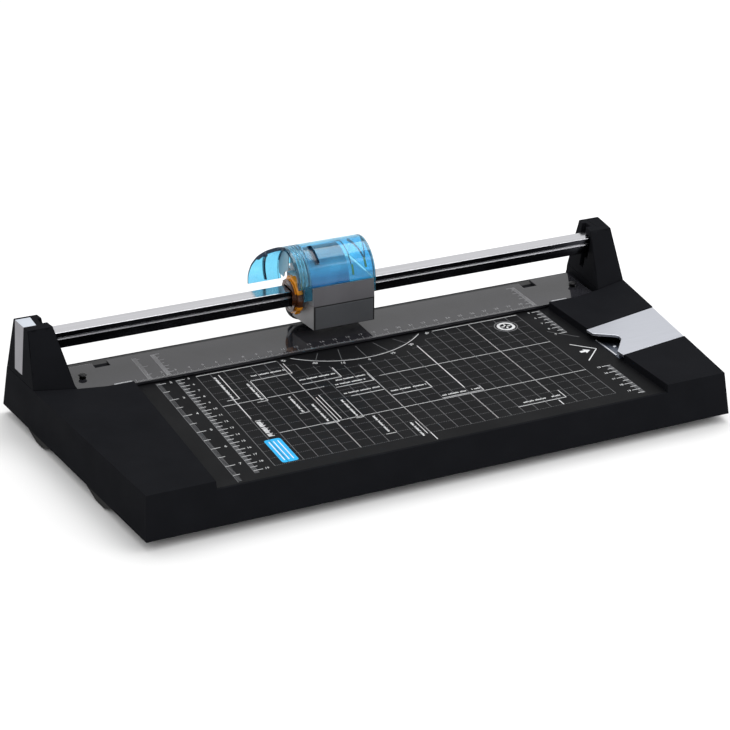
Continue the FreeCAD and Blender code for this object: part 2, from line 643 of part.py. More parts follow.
# ------------------------------------------------------------------ cutter head
def make_head():
    body = new_body("head_housing_body")
    profile = [(d.head_front, d.head_bottom), (d.head_rear_bottom, d.head_bottom),
               (d.head_rear, d.rear_chamfer), (d.head_rear, d.head_split),
               (d.head_shoulder, d.head_split), (d.head_front, d.crease_level)]
    pad(body, sketch(body, "housing_profile", "YZ_Plane", -d.head_half, [profile]),
        d.head_half * 2)
    cheek = [(-d.head_half + 1, d.head_front), (-d.head_half, d.head_front),
             (-d.head_half - d.head_flare, d.head_rear_bottom),
             (-d.head_half + 1, d.head_rear_bottom)]
    pad(body, sketch(body, "left_cheek", "XY_Plane", d.head_bottom, [cheek]),
        d.crease_level - d.head_bottom)
    shoulder = [(-d.head_half + 1, d.head_shoulder), (-d.head_half, d.head_shoulder),
                (-d.head_half - d.head_flare, d.head_rear_bottom),
                (-d.head_half + 1, d.head_rear_bottom)]
    pad(body, sketch(body, "left_shoulder", "XY_Plane", d.crease_level - 0.1, [shoulder]),
        d.head_split - d.crease_level + 0.1)
    hub = sketch(body, "dial_hub", "YZ_Plane", -d.head_half,
                 circles=[(d.rail_y, d.rail_z, d.hub_outer)])
    pad(body, hub, d.hub_end - d.head_half, True)
    half_depth = d.tunnel_depth / 2
    half_height = d.tunnel_height / 2
    tunnel = rectangle(d.rail_y - half_depth, d.rail_y + half_depth,
                       d.rail_z - half_height, d.rail_z + half_height)
    pocket(body, sketch(body, "tunnel", "YZ_Plane", -d.head_half, [tunnel]),
           d.head_half * 2, True)
    passage = rectangle(rail_front - d.rail_gap, rail_rear + d.rail_gap,
                        rail_low - d.rail_gap, rail_high + d.rail_gap)
    pocket(body, sketch(body, "hub_passage", "YZ_Plane", -d.hub_end - 1, [passage]),
           d.hub_end, True)
    belly = rectangle(-d.head_half + 2.2, d.head_half - 2.2, d.head_front + 2.2,
                      d.rail_y - half_depth - 1.6)
    pocket(body, sketch(body, "belly", "XY_Plane", d.head_bottom, [belly]), 27.0, True)
    recess = sketch(body, "blade_recess", "XZ_Plane", -d.recess_front,
                    circles=[(d.blade_x, d.blade_z, d.recess_radius)])
    pocket(body, recess, d.recess_rear - d.recess_front)
    low_gap = rectangle(d.blade_x - d.recess_radius, d.blade_x + d.recess_radius,
                        d.recess_front, d.recess_rear)
    pocket(body, sketch(body, "blade_mouth", "XY_Plane", d.head_bottom, [low_gap]),
           d.blade_z - d.head_bottom, True)
    axle = sketch(body, "axle_bore", "XZ_Plane", -d.recess_front + 1.5,
                  circles=[(d.blade_x, d.blade_z, d.axle_radius)])
    pocket(body, axle, 20.0)
    sink = sketch(body, "axle_sink", "XZ_Plane", -d.axle_head_front,
                  circles=[(d.blade_x, d.blade_z, d.axle_head + 0.3)])
    pocket(body, sink, 8.0)
    knuckle = rectangle(-d.knuckle_half - 0.4, d.knuckle_half + 0.4,
                        d.pin_y - d.knuckle_outer - 0.5, d.head_rear + 2)
    pocket(body, sketch(body, "knuckle_gap", "XY_Plane", d.head_split + 0.5, [knuckle]),
           d.head_split + 0.5 - d.pin_z + d.knuckle_outer + 0.5)
    pin_bore = sketch(body, "pin_bore", "YZ_Plane", -d.head_half + 3,
                      circles=[(d.pin_y, d.pin_z, d.pin_radius)])
    pocket(body, pin_bore, d.head_half * 2 - 6, True)
    for name, radius, start in (("screw_bores", d.screw_shank, 9.0),
                                ("screw_sinks", d.screw_head + 0.2, 1.0)):
        holes = sketch(body, name, "XZ_Plane", -(d.head_rear - start),
                       circles=[(x, z, radius) for x, z in HEAD_SCREWS])
        pocket(body, holes, 12.0)
    piece(body, "head_housing")


def rectangle(low_u, high_u, low_v, high_v):
    return [(low_u, low_v), (high_u, low_v), (high_u, high_v), (low_u, high_v)]


def make_bushes():
    half_depth = d.tunnel_depth / 2
    half_height = d.tunnel_height / 2
    for side, word in ((-1, "left"), (1, "right")):
        span = sided(side, d.head_half - d.bush_inset - d.bush_length,
                     d.head_half - d.bush_inset)
        body = new_body(word + "_bush_body")
        outer = rectangle(d.rail_y - half_depth, d.rail_y + half_depth,
                          d.rail_z - half_height, d.rail_z + half_height)
        inner = rectangle(rail_front - d.bush_gap, rail_rear + d.bush_gap,
                          rail_low - d.bush_gap, rail_high + d.bush_gap)
        pad(body, sketch(body, word + "_bush_ring", "YZ_Plane", span[0],
                         [outer, inner]), d.bush_length)
        piece(body, word + "_rail_bush")


def make_dial():
    """The selector ring that turns on the head's hub, and the clip that keeps it on."""
    ring = tube("dial_ring", d.dial_outer, d.hub_outer + d.dial_gap,
                (-d.dial_left, -d.dial_right), (d.rail_y, d.rail_z), "x")
    marker = rod("dial_marker_dent", 1.2, (-d.dial_left - 1, -d.dial_left + 0.8),
                 (d.rail_y, d.rail_z + 12.2), "x")
    piece(cut("dial_body", ring, marker), "selector_dial")
    clip = tube("dial_clip_ring", d.clip_outer, d.hub_outer,
                (-d.dial_left - 0.3 - d.clip_thick, -d.dial_left - 0.3),
                (d.rail_y, d.rail_z), "x")
    piece(clip, "dial_clip")


def make_cover():
    """The clear hood: a half tube over the head with a rounded flap on its left."""
    axis = (d.cover_y, d.head_split)
    inner_shape = rod("cover_void", d.cover_inner,
                      (-70.0, d.cover_right - d.cover_end_thick), axis, "x")
    hood = rod("hood_round", d.cover_outer, (-d.cover_left, d.cover_right), axis, "x")
    upper = box("hood_upper", (-60.0, 40.0), (40.0, 130.0),
                (d.head_split + d.cover_gap, 120.0))
    hood = common("hood_half", hood, upper)
    flap = rod("flap_round", d.cover_outer, (-d.flap_left, -d.flap_right), axis, "x")
    rear = box("flap_rear", (-60.0, -20.0), (d.flap_front, 130.0), (d.flap_low, 120.0))
    flap = common("flap_quarter", flap, rear)
    corner = cut("flap_corner",
                 box("flap_corner_block", (-d.flap_left - 5, -d.cover_left - 1),
                     (60.0, 130.0), (d.flap_low + 9, 120.0)),
                 rod("flap_corner_round", 19.5, (60.0, 130.0),
                     (-d.cover_left - 1, d.flap_low + 10.5), "y"))
    end_wall = common("cover_end_disc",
                      rod("cover_end_round", d.cover_outer,
                          (d.cover_right - d.cover_end_thick, d.cover_right), axis, "x"),
                      upper)
    web = common("fin_web", rod("fin_round", d.cover_inner + 0.4,
                                (-d.fin_right - d.fin_thick, -d.fin_right), axis, "x"),
                 box("fin_zone", (-60.0, -20.0), (d.flap_front + 8, 130.0),
                     (d.flap_low + 2, 86.0)))
    knuckle_span = (-d.knuckle_half, d.knuckle_half)
    knuckle = rod("cover_knuckle", d.knuckle_outer, knuckle_span,
                  (d.pin_y, d.pin_z), "x")
    strap = box("cover_strap", knuckle_span, (d.pin_y - 0.4, d.pin_y + d.knuckle_outer),
                (d.pin_z, d.head_split + 4))
    relief = box("cover_relief", (-d.flap_right, 40.0), (d.pin_y - 3.5, 130.0),
                 (60.0, d.pin_z + 4.1))
    front = d.cover_y - d.cover_outer + 0.2
    tabs = [box(word + "_cover_tab", span, (front, front + 1.4),
                (d.tab_low, d.head_split + 1.2))
            for word, span in (("left", (-d.left_tab_edge, -d.head_half - d.tab_gap)),
                               ("right", (d.head_half + d.tab_gap, d.cover_right)))]
    shell = cut("cover_shell", fuse("cover_solid", hood, flap, end_wall), inner_shape,
                corner, relief)
    shell = fuse("cover_joined", shell, web, knuckle, strap, *tabs)
    slot = box("cover_slot", (d.cover_slot_left, d.cover_slot_right), (70.0, 92.0),
               (80.0, 120.0))
    pin_hole = rod("cover_pin_hole", d.pin_radius + d.pin_gap, (-30.0, 30.0),
                   (d.pin_y, d.pin_z), "x")
    piece(cut("cover_body", shell, slot, pin_hole), "head_cover")
    pin = rod("cover_pin_rod", d.pin_radius, (-d.head_half + 3, d.head_half - 3),
              (d.pin_y, d.pin_z), "x")
    piece(pin, "cover_hinge_pin")


def make_magazine():
    """The half-round block under the hood, whose lidded well keeps two spare blades."""
    axis = (d.cover_y, d.head_split)
    upper = box("magazine_upper", (-60.0, 40.0), (40.0, 107.0), (d.head_split, 120.0))
    block = common("magazine_half",
                   rod("magazine_round", d.magazine_outer,
                       (-d.head_half, d.magazine_right), axis, "x"), upper)
    lid = common("magazine_lid_half",
                 tube("magazine_lid_round", d.lid_outer, d.lid_inner,
                      (-d.head_half, d.magazine_right), axis, "x"), upper)
    piece(lid, "magazine_lid")
    well = rod("magazine_well_bore", d.magazine_well, (d.head_split + 6, 120.0),
               (d.spare_x, d.cover_y), "z")
    post = rod("magazine_post", 3.6, (d.head_split + 5, d.head_split + 12),
               (d.spare_x, d.cover_y), "z")
    piece(fuse("magazine_body", cut("magazine_bored", block, well), post),
          "blade_magazine")
    for index, word in enumerate(("wavy", "perforating")):
        low = d.head_split + 6.3 + index * (d.spare_thick + 1.2)
        ring = tube(word + "_disc", d.spare_radius, d.blade_bore,
                    (low, low + d.spare_thick), (d.spare_x, d.cover_y), "z")
        piece(ring, "spare_%s_blade" % word)


def make_blade():
    """The round blade, clamped between the two flanges of its hub, on a fixed axle."""
    centre = (d.blade_x, d.blade_z)
    front = d.cut_line - d.blade_thick / 2
    rear = d.cut_line + d.blade_thick / 2
    disc = rod("blade_disc", d.blade_outer, (front, rear), centre, "y")
    bevel = Part.makeCone(d.blade_outer.value - 1.6, d.blade_outer.value + 0.2,
                          d.blade_thick.value * 0.5,
                          V(d.blade_x.value, front.value, d.blade_z.value), V(0, 1, 0))
    plate = Part.makeCylinder(d.blade_outer.value, d.blade_thick.value * 0.5,
                              V(d.blade_x.value, d.cut_line.value, d.blade_z.value),
                              V(0, 1, 0))
    keep = feature("blade_bevel", bevel.fuse(plate))
    bore = rod("blade_bore_rod", d.blade_bore, (90.0, 105.0), centre, "y")
    piece(cut("blade_body", common("blade_bevelled", disc, keep), bore), "round_blade")
    hub = fuse("hub_solid",
               rod("hub_front", d.blade_hub, (front - 1.6, front), centre, "y"),
               rod("hub_core", d.blade_bore, (front, rear), centre, "y"),
               rod("hub_rear", d.blade_hub, (rear, rear + 1.6), centre, "y"))
    hole = rod("hub_hole", d.axle_radius + d.axle_gap, (90.0, 105.0), centre, "y")
    piece(cut("hub_body", hub, hole), "blade_hub")
    axle = fuse("axle_solid",
                rod("axle_shank", d.axle_radius,
                    (d.recess_front - 1.2, d.axle_head_front), centre, "y"),
                rod("axle_head", d.axle_head, (d.axle_head_front, d.axle_head_rear),
                    centre, "y"))
    piece(axle, "blade_axle")
    guard = common("guard_segment",
                   rod("guard_disc", d.guard_radius, (d.guard_front, d.guard_rear),
                       centre, "y"),
                   box("guard_zone", (-60.0, 40.0), (90.0, 120.0),
                       (20.0, d.head_bottom)))
    piece(guard, "blade_guard")


def make_head_screws():
    screws = []
    for x, z in HEAD_SCREWS:
        screws.append(rod("head_screw_head", d.screw_head,
                          (d.head_rear - 1.0, d.head_rear), (x, z), "y"))
        screws.append(rod("head_screw_shank", d.screw_shank,
                          (d.head_rear - 9.0, d.head_rear - 1.0), (x, z), "y"))
    piece(fuse("head_screws_all", *screws), "head_screws")


# ------------------------------------------------------------------ corner rounder
def make_corner_rounder():
    level = d.platform_level - d.lever_thick
    body = new_body("rounder_lever_body")
    pad(body, sketch(body, "lever_outline", "XY_Plane", level, [LEVER_OUTLINE]),
        d.lever_thick)
    lugs = [[(d.pivot_x - d.lug_half, y), (d.pivot_x + d.lug_half, y),
             (d.pivot_x + d.lug_half, y + 3), (d.pivot_x - d.lug_half, y + 3)]
            for y in (-33.0, -5.0)]
    low = d.pivot_z - 1.6
    pad(body, sketch(body, "lever_lugs", "XY_Plane", low, lugs), level - low + 0.2)
    skirt_low = d.deck_level + 0.6
    pad(body, sketch(body, "lever_skirt", "XY_Plane", skirt_low, [LEVER_SKIRT]),
        level - skirt_low + 0.2)
    bore = sketch(body, "lever_bore", "XZ_Plane", 40.0,
                  circles=[(d.pivot_x, d.pivot_z, d.pivot_radius + 0.05)])
    pocket(body, bore, 48.0)
    piece(body, "rounder_lever")
    pin = rod("rounder_pin_rod", d.pivot_radius, (-34.0, -1.0),
              (d.pivot_x, d.pivot_z), "y")
    piece(pin, "rounder_pin")
    make_flat("rounder_punch", PUNCH_OUTLINE, d.punch_low, level - d.punch_low)
    body = new_body("rounder_die_body")
    pad(body, sketch(body, "die_outline", "XY_Plane", d.die_low, [DIE_OUTLINE]),
        d.deck_level - d.die_low)
    gap = d.punch_gap
    hole = [(175.0 - gap, -36.2 - gap), (184.2 + gap, -36.2 - gap),
            (184.2 + gap, -18.8 + gap), (175.0 - gap, -18.8 + gap)]
    pocket(body, sketch(body, "die_hole", "XY_Plane", d.deck_level, [hole]),
           d.deck_level - d.die_low)
    piece(body, "rounder_die")
    spring = tube("rounder_spring_coil", d.lever_spring_outer, d.lever_spring_inner,
                  (d.lever_spring_floor, level), (d.lever_spring_x, d.lever_spring_y),
                  "z")
    piece(spring, "rounder_spring")


# ------------------------------------------------------------------ build
make_base_shell()
make_bottom_plate()
make_flat("grid_mat", mat_outline(), d.deck_level - d.mat_thick, d.mat_thick)
make_flat("cutting_strip", strip_outline(), d.deck_level - d.strip_thick, d.strip_thick)
make_feet()
make_base_screws()
make_tower(-1, "left")
make_tower(1, "right")
make_rail()
make_clamp()
make_head()
make_bushes()
make_dial()
make_cover()
make_magazine()
make_blade()
make_head_screws()
make_corner_rounder()
doc.recompute()

# ------------------------------------------------------------------ checks and export
for obj in doc.Objects:
    for flag in ("Invalid", "Error"):
        if flag in obj.State:
            raise RuntimeError("%s is %s" % (obj.Label, flag))
for obj in PIECES:
    shape = obj.Shape
    if shape.isNull() or not shape.isValid() or not shape.Solids:
        raise RuntimeError("%s has no sound solid" % obj.Label)
for obj in PIECES:
    obj.Shape.exportStep(os.path.join(OUT, obj.Label + ".step"))
    box_of = obj.Shape.BoundBox
    print("%-24s %2d solid  %9.1f mm3   x %7.1f %7.1f  y %7.1f %7.1f  z %6.1f %6.1f"
          % (obj.Label, len(obj.Shape.Solids), obj.Shape.Volume, box_of.XMin,
             box_of.XMax, box_of.YMin, box_of.YMax, box_of.ZMin, box_of.ZMax))
print(len(PIECES), "pieces")
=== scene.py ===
"""Looks for the rotary paper trimmer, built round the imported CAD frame. Metres, +Z up."""

import json
import math

import bmesh
import bpy
from mathutils import Matrix, Vector


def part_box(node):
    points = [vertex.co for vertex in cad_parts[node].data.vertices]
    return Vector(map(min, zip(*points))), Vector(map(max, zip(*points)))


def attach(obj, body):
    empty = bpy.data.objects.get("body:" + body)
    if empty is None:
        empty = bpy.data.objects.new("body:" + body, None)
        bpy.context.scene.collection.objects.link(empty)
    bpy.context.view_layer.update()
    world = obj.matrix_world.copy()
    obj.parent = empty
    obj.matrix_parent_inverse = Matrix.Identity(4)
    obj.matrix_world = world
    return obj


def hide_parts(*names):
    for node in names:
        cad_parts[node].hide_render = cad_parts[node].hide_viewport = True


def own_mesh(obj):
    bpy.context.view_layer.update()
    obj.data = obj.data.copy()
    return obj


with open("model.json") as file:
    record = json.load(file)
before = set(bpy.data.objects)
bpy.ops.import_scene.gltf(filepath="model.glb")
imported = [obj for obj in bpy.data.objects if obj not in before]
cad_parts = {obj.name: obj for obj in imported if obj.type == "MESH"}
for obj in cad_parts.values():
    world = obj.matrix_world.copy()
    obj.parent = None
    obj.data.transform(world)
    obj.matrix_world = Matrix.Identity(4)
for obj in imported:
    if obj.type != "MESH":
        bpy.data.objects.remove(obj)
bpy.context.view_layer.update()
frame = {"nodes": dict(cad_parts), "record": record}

MM = 0.001
WELD = 0.002 * MM
ACRYLIC_IOR = 1.49
FACING = 0.7
NODES = frame["nodes"]
BODY_OF = {}
for body_name, members in frame["record"]["behaviour"]["bodies"].items():
    for member in members:
        BODY_OF[member] = body_name


# ---------------- materials
class Surface:
    """A Principled material with short ways to add procedural detail to it."""

    def __init__(self, name, colour, rough, metallic=0.0, specular=0.5):
        self.material = bpy.data.materials.new(name)
        self.material.use_nodes = True
        self.nodes = self.material.node_tree.nodes
        self.links = self.material.node_tree.links
        self.shader = self.nodes["Principled BSDF"]
        self.colour = (*colour, 1.0)
        self.rough = rough
        self.set("Base Color", self.colour)
        self.set("Roughness", rough)
        self.set("Metallic", metallic)
        self.set("Specular IOR Level", specular)
        self.place = self.nodes.new("ShaderNodeTexCoord").outputs["Object"]
        self.normal = None

    def set(self, socket, value):
        self.shader.inputs[socket].default_value = value
        return self

    def node(self, kind, **values):
        """A new shader node; each value is a number to set or a socket to link."""
        made = self.nodes.new("ShaderNode" + kind)
        for name, value in values.items():
            socket = made.inputs[name.replace("_", " ")]
            if isinstance(value, bpy.types.NodeSocket):
                self.links.new(value, socket)
            else:
                socket.default_value = value
        return made

    def noise(self, scale, detail=4.0, stretch=(1, 1, 1)):
        """Noise in the object's own coordinates; scale is in features per metre."""
        mapping = self.node("Mapping", Scale=stretch, Vector=self.place)
        return self.node("TexNoise", Scale=scale, Detail=detail,
                         Vector=mapping.outputs["Vector"]).outputs["Fac"]

    def cells(self, scale):
        return self.node("TexVoronoi", Scale=scale, Vector=self.place).outputs["Distance"]

    def spread(self, factor, low, high, start=0.35, end=0.65):
        """Map a texture's middle stretch to a range of values."""
        return self.node("MapRange", Value=factor, From_Min=start, From_Max=end,
                         To_Min=low, To_Max=high).outputs["Result"]

    def mottle(self, factor, amount):
        """Lighten and darken the colour by a fraction, following a texture."""
        node = self.nodes.new("ShaderNodeMix")
        node.data_type = "RGBA"
        colours = [socket for socket in node.inputs if socket.type == "RGBA"]
        for socket, share in zip(colours, (1 - amount, 1 + amount)):
            socket.default_value = [min(1, c * share) for c in self.colour[:3]] + [1]
        self.links.new(self.spread(factor, 0, 1), node.inputs["Factor"])
        result = [socket for socket in node.outputs if socket.type == "RGBA"][0]
        self.links.new(result, self.shader.inputs["Base Color"])
        return self

    def blend_up(self, low, high, *stops):
        """Colours blended one into the next between two heights, given in mm."""
        split = self.node("SeparateXYZ", Vector=self.place)
        height = self.spread(split.outputs["Z"], 0, 1, low * MM, high * MM)
        ramp = self.node("ValToRGB", Fac=height)
        points = ramp.color_ramp.elements
        while len(points) < len(stops):
            points.new(0.5)
        for point, (share, colour) in zip(points, stops):
            point.position = share
            point.color = (*colour, 1)
        self.links.new(ramp.outputs["Color"], self.shader.inputs["Base Color"])
        return self

    def roughen(self, factor, amount):
        low, high = max(0.01, self.rough - amount), min(1, self.rough + amount)
        self.links.new(self.spread(factor, low, high), self.shader.inputs["Roughness"])
        return self

    def bump(self, factor, depth, strength=1.0):
        """Raise the surface by up to a depth in metres, on top of earlier bumps."""
        node = self.node("Bump", Distance=depth, Strength=strength, Height=factor)
        if self.normal:
            self.links.new(self.normal, node.inputs["Normal"])
        self.normal = node.outputs["Normal"]
        self.links.new(self.normal, self.shader.inputs["Normal"])
        return self


def moulded(name, colour, rough, specular=0.35, grain=1400, depth=0.00006):
    """Moulded plastic with a fine spark-eroded grain and a few shinier rubbed places."""
    s = Surface(name, colour, rough, specular=specular)
    s.mottle(s.noise(45), 0.07)
    s.roughen(s.noise(28, 6), 0.06)
    s.bump(s.noise(grain, 2), depth, 0.7)
    s.bump(s.cells(grain * 0.6), depth * 0.6, 0.4)
    return s.material


def metal(name, colour, rough, stretch, lines=900, depth=0.000006, amount=0.06,
          streak=0.08):
    """Metal with drawn or ground lines along one axis."""
    s = Surface(name, colour, rough, metallic=1.0)
    s.mottle(s.noise(lines * 0.3, 4, stretch), streak)
    s.roughen(s.noise(lines, 6, stretch), amount)
    s.bump(s.noise(lines, 3, stretch), depth, 0.5)
    return s.material


def clear(name, colour, rough, transmission, depth=0.00001):
    """Clear moulded plastic with soft flow marks and fine rubbing."""
    s = Surface(name, colour, rough)
    s.set("Transmission Weight", transmission)
    s.set("IOR", ACRYLIC_IOR)
    s.mottle(s.noise(60, 3), 0.1)
    s.roughen(s.noise(350, 6), rough * 0.5)
    s.bump(s.noise(140, 3), depth, 0.5)
    return s.material


ALONG_X = (0.02, 1, 1)
ALONG_Y = (1, 0.02, 1)
CASING = moulded("casing_black", (0.0084, 0.0088, 0.0105), 0.62, 0.008)
CASING_SMOOTH = moulded("casing_satin", (0.006, 0.0063, 0.007), 0.4, 0.2, 2600, 0.00002)
UNDERSIDE = moulded("underside_black", (0.009, 0.009, 0.01), 0.7, 0.15, 900, 0.0001)
MAT = moulded("mat_black", (0.0058, 0.006, 0.0068), 0.5, 0.045, 3200, 0.00002)
STRIP = moulded("cutting_strip", (0.014, 0.014, 0.015), 0.45, 0.2, 2500, 0.00002)
RUBBER = moulded("foot_rubber", (0.016, 0.016, 0.016), 0.85, 0.25, 700, 0.0001)
INK = moulded("print_white", (0.66, 0.67, 0.68), 0.5, 0.3, 4000, 0.00001)
INK_DIM = moulded("print_grey", (0.14, 0.143, 0.15), 0.55, 0.3, 4000, 0.00001)
INK_CYAN = moulded("print_cyan", (0.0, 0.36, 0.72), 0.5, 0.3, 4000, 0.00001)
INK_FAINT = moulded("print_faint", (0.26, 0.26, 0.27), 0.5, 0.3, 4000, 0.00001)
CAP = moulded("cap_grey", (0.25, 0.245, 0.265), 0.42, 0.4, 2200, 0.00002)
# painted light: a paler, bluish copy of the cap grey for the cap's upward faces, as if lit
# from above
CAP_TOP_LIT = moulded("cap_top_painted_light", (0.5, 0.54, 0.6), 0.35, 0.5, 2200, 0.00002)
CHROME = metal("rail_chrome", (0.66, 0.66, 0.69), 0.16, ALONG_X, 700, 0.000002, 0.03,
               0.05)
# painted dark reflection: the rail's front faces are near black where the chrome shows a
# dark reflection
RAIL_SHADE = metal("rail_front_painted_dark", (0.035, 0.036, 0.042), 0.2, ALONG_X, 700, 0.000002,
                   0.04, 0.2)
# painted reflection: a grey line at the foot of each groove stands for a thin reflection in
# the chrome
RAIL_GROOVE_GLINT = metal("rail_groove", (0.3, 0.3, 0.32), 0.25, ALONG_X, 700, 0.000002, 0.04)
STEEL = metal("screw_steel", (0.55, 0.56, 0.58), 0.28, (1, 1, 1), 1500)
SPRING = metal("spring_steel", (0.42, 0.43, 0.45), 0.3, (1, 1, 1), 2500)
PLATE = metal("silver_plate", (0.5, 0.515, 0.56), 0.42, ALONG_X, 6000, 0.000002, 0.03,
              0.03)
DIE = metal("die_steel", (0.1, 0.115, 0.15), 0.22, ALONG_Y, 1400, 0.000004)
LIP = metal("bright_steel", (0.75, 0.76, 0.8), 0.2, ALONG_Y, 2500, 0.000002, 0.03)
BLADE = metal("blade_steel", (0.5, 0.51, 0.53), 0.18, (1, 1, 1), 600, 0.000004)
HOUSING = moulded("head_grey", (0.112, 0.11, 0.12), 0.4, 0.5, 1800, 0.00003)
# painted light: a lighter grey for faces turned to -X, standing in for light falling on the
# left cheeks
HOUSING_LIT_SIDE = moulded("head_side_painted_light", (0.29, 0.29, 0.3), 0.45, 0.5, 1800, 0.00003)
PANEL = moulded("head_panel_grey", (0.07, 0.073, 0.08), 0.42, 0.45, 1800, 0.00003)
GUARD = moulded("guard_black", (0.01, 0.01, 0.011), 0.45, 0.35, 1500, 0.00004)
BUSH = moulded("bush_white", (0.6, 0.6, 0.57), 0.5, 0.4, 1800, 0.00002)
MAGAZINE = moulded("magazine_grey", (0.4, 0.46, 0.5), 0.3, 0.5, 1500, 0.00002)
SMOKE = clear("smoke_clear", (0.022, 0.022, 0.026), 0.06, 0.1, depth=0.000002)
FROST = moulded("frosted_web", (0.36, 0.5, 0.58), 0.35, 0.35, 1500, 0.00002)
# painted light: a pale blue-white on the housing's top deck stands in for the brightness
# seen through the hood
DECK_PAINTED_LIGHT = moulded("head_deck_painted_light", (0.7, 0.9, 1.0), 0.3, 0.5, 1500, 0.00002)
BLUE = clear("blue_clear", (0.2, 0.67, 0.98), 0.04, 0.93)
# painted shade: a near-black blue on the hood's rims, ribs and the strip under its slot
# stands for the dark look of clear plastic edges
BLUE_EDGE_SHADE = clear("blue_edge_painted_shade", (0.004, 0.03, 0.075), 0.12, 0.3)
# painted light: a yellow-green colour on two ribs stands in for light glowing along their
# edges
GLOW_EDGE = clear("edge_painted_glow", (0.5, 0.62, 0.03), 0.15, 0.4)
AMBER = clear("orange_clear", (0.9, 0.32, 0.012), 0.2, 0.12)
# painted shade: a dark brown orange for the dial's middle, its clip, the hub's end and the
# left bush, standing for shade and dark reflection
AMBER_SHADE = clear("orange_painted_shade", (0.085, 0.024, 0.007), 0.35, 0.05)


def lid_finish():
    """The drum's satin finish with painted light: deeper blue towards its foot, a pale
    painted highlight band across its middle, and painted shade, grey to near black, along
    its crown.
    """
    s = Surface("drum_painted_light", (0.5, 0.6, 0.66), 0.24)
    s.blend_up(71.5, 92.1, (0.0, (0.05, 0.3, 0.6)), (0.3, (0.2, 0.5, 0.72)),
               (0.52, (0.75, 0.88, 0.95)), (0.78, (0.2, 0.27, 0.34)),
               (1.0, (0.05, 0.055, 0.07)))
    s.roughen(s.noise(60, 5), 0.05)
    s.bump(s.noise(900, 2), 0.00002, 0.5)
    return s.material


LID_PAINTED_LIGHT = lid_finish()


# ---------------- mesh helpers
def link(name, mesh, node, *materials, replaces=False):
    """Put a mesh in the scene as a piece that rides with a CAD node's body."""
    piece = bpy.data.objects.new(name, mesh)
    bpy.context.collection.objects.link(piece)
    for material in materials:
        piece.data.materials.append(material)
    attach(piece, BODY_OF[node])
    if replaces:
        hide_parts(node)
    return piece


def finish_mesh(bm, name, smooth=True):
    bmesh.ops.recalc_face_normals(bm, faces=bm.faces)
    mesh = bpy.data.meshes.new(name)
    bm.to_mesh(mesh)
    bm.free()
    for face in mesh.polygons:
        face.use_smooth = smooth
    return mesh


def place(bm, name, node, *finishes, smooth=True, replaces=False):
    """Finish a mesh under construction and link it as a piece of the same name."""
    mesh = finish_mesh(bm, name, smooth)
    return link(name, mesh, node, *finishes, replaces=replaces)


def soften(piece, width, segments=2, angle=35, harden=True, clamp=False):
    """Round the sharp edges, as a mould or a deburring tool leaves them."""
    bevel = piece.modifiers.new("edges", "BEVEL")
    bevel.width = width * MM
    bevel.segments = segments
    bevel.limit_method = "ANGLE"
    bevel.angle_limit = math.radians(angle)
    bevel.use_clamp_overlap = clamp
    bevel.harden_normals = harden
    return piece


def dress(node, *materials, width=0.4, segments=2, flat=False, pick=None, clamp=False):
    """The CAD node's own shape with rounded edges; pick gives a face's finish."""
    bm = bmesh.new()
    bm.from_mesh(NODES[node].data)
    bmesh.ops.remove_doubles(bm, verts=bm.verts, dist=WELD)
    bmesh.ops.dissolve_limit(bm, angle_limit=math.radians(0.6), verts=bm.verts,
                             edges=bm.edges)
    plain = bmesh.new()
    copies = {v: plain.verts.new(v.co) for v in bm.verts}
    for face in bm.faces:
        plain.faces.new([copies[v] for v in face.verts])
    bm.free()
    mesh = finish_mesh(plain, node + "_skin", not flat)
    if pick:
        for face in mesh.polygons:
            face.material_index = pick(face)
    piece = link(node + "_skin", mesh, node, *materials, replaces=True)
    return soften(piece, width, segments, harden=not flat, clamp=clamp)


def add_box(bm, low, high, index=0):
    """A box between two corners given in millimetres."""
    made = bmesh.ops.create_cube(bm, size=1.0)["verts"]
    for vert in made:
        for axis in range(3):
            share = vert.co[axis] + 0.5
            vert.co[axis] = (low[axis] + (high[axis] - low[axis]) * share) * MM
    for face in {f for v in made for f in v.link_faces}:
        face.material_index = index


def turned(bm, profile, centre, axis="z", steps=48, index=0, lobes=0, lobe_depth=0.0):
    """Turn a closed profile of (radius, height) points in mm round an axis."""
    rings = []
    turn = {"z": Matrix.Identity(3), "y": Matrix(((1, 0, 0), (0, 0, 1), (0, -1, 0))),
            "x": Matrix(((0, 0, 1), (1, 0, 0), (0, 1, 0)))}[axis]
    for step in range(steps):
        angle = 2 * math.pi * step / steps
        wave = lobe_depth * (0.5 - 0.5 * math.cos(lobes * angle)) if lobes else 0.0
        ring = []
        for radius, height, *outer in profile:
            r = radius - (wave if outer else 0.0)
            local = Vector((r * math.cos(angle), r * math.sin(angle), height))
            ring.append(bm.verts.new((Vector(centre) + turn @ local) * MM))
        rings.append(ring)
    count = len(profile)
    for step in range(steps):
        one, two = rings[step], rings[(step + 1) % steps]
        for k in range(count):
            face = bm.faces.new((one[k], two[k], two[(k + 1) % count],
                                 one[(k + 1) % count]))
            face.material_index = index


def ring_profile(inner, outer, low, high, round_off):
    """A ring's section with softened outer corners, which follow a turned shape's lobes."""
    r = round_off
    return [(inner, low), (outer - r, low, 1), (outer, low + r, 1), (outer, high - r, 1),
            (outer - r, high, 1), (inner, high)]


def box_mm(node):
    """A CAD node's low and high corners in millimetres."""
    return [[value / MM for value in corner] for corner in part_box(node)]


def middle_of(low, high):
    return [(a + b) / 2 for a, b in zip(low, high)]


def around(centre, radius, angle):
    """The point at a radius and an angle round a centre in a vertical Y-Z plane."""
    a = math.radians(angle)
    return (0, centre[1] + radius * math.cos(a), centre[2] + radius * math.sin(a))


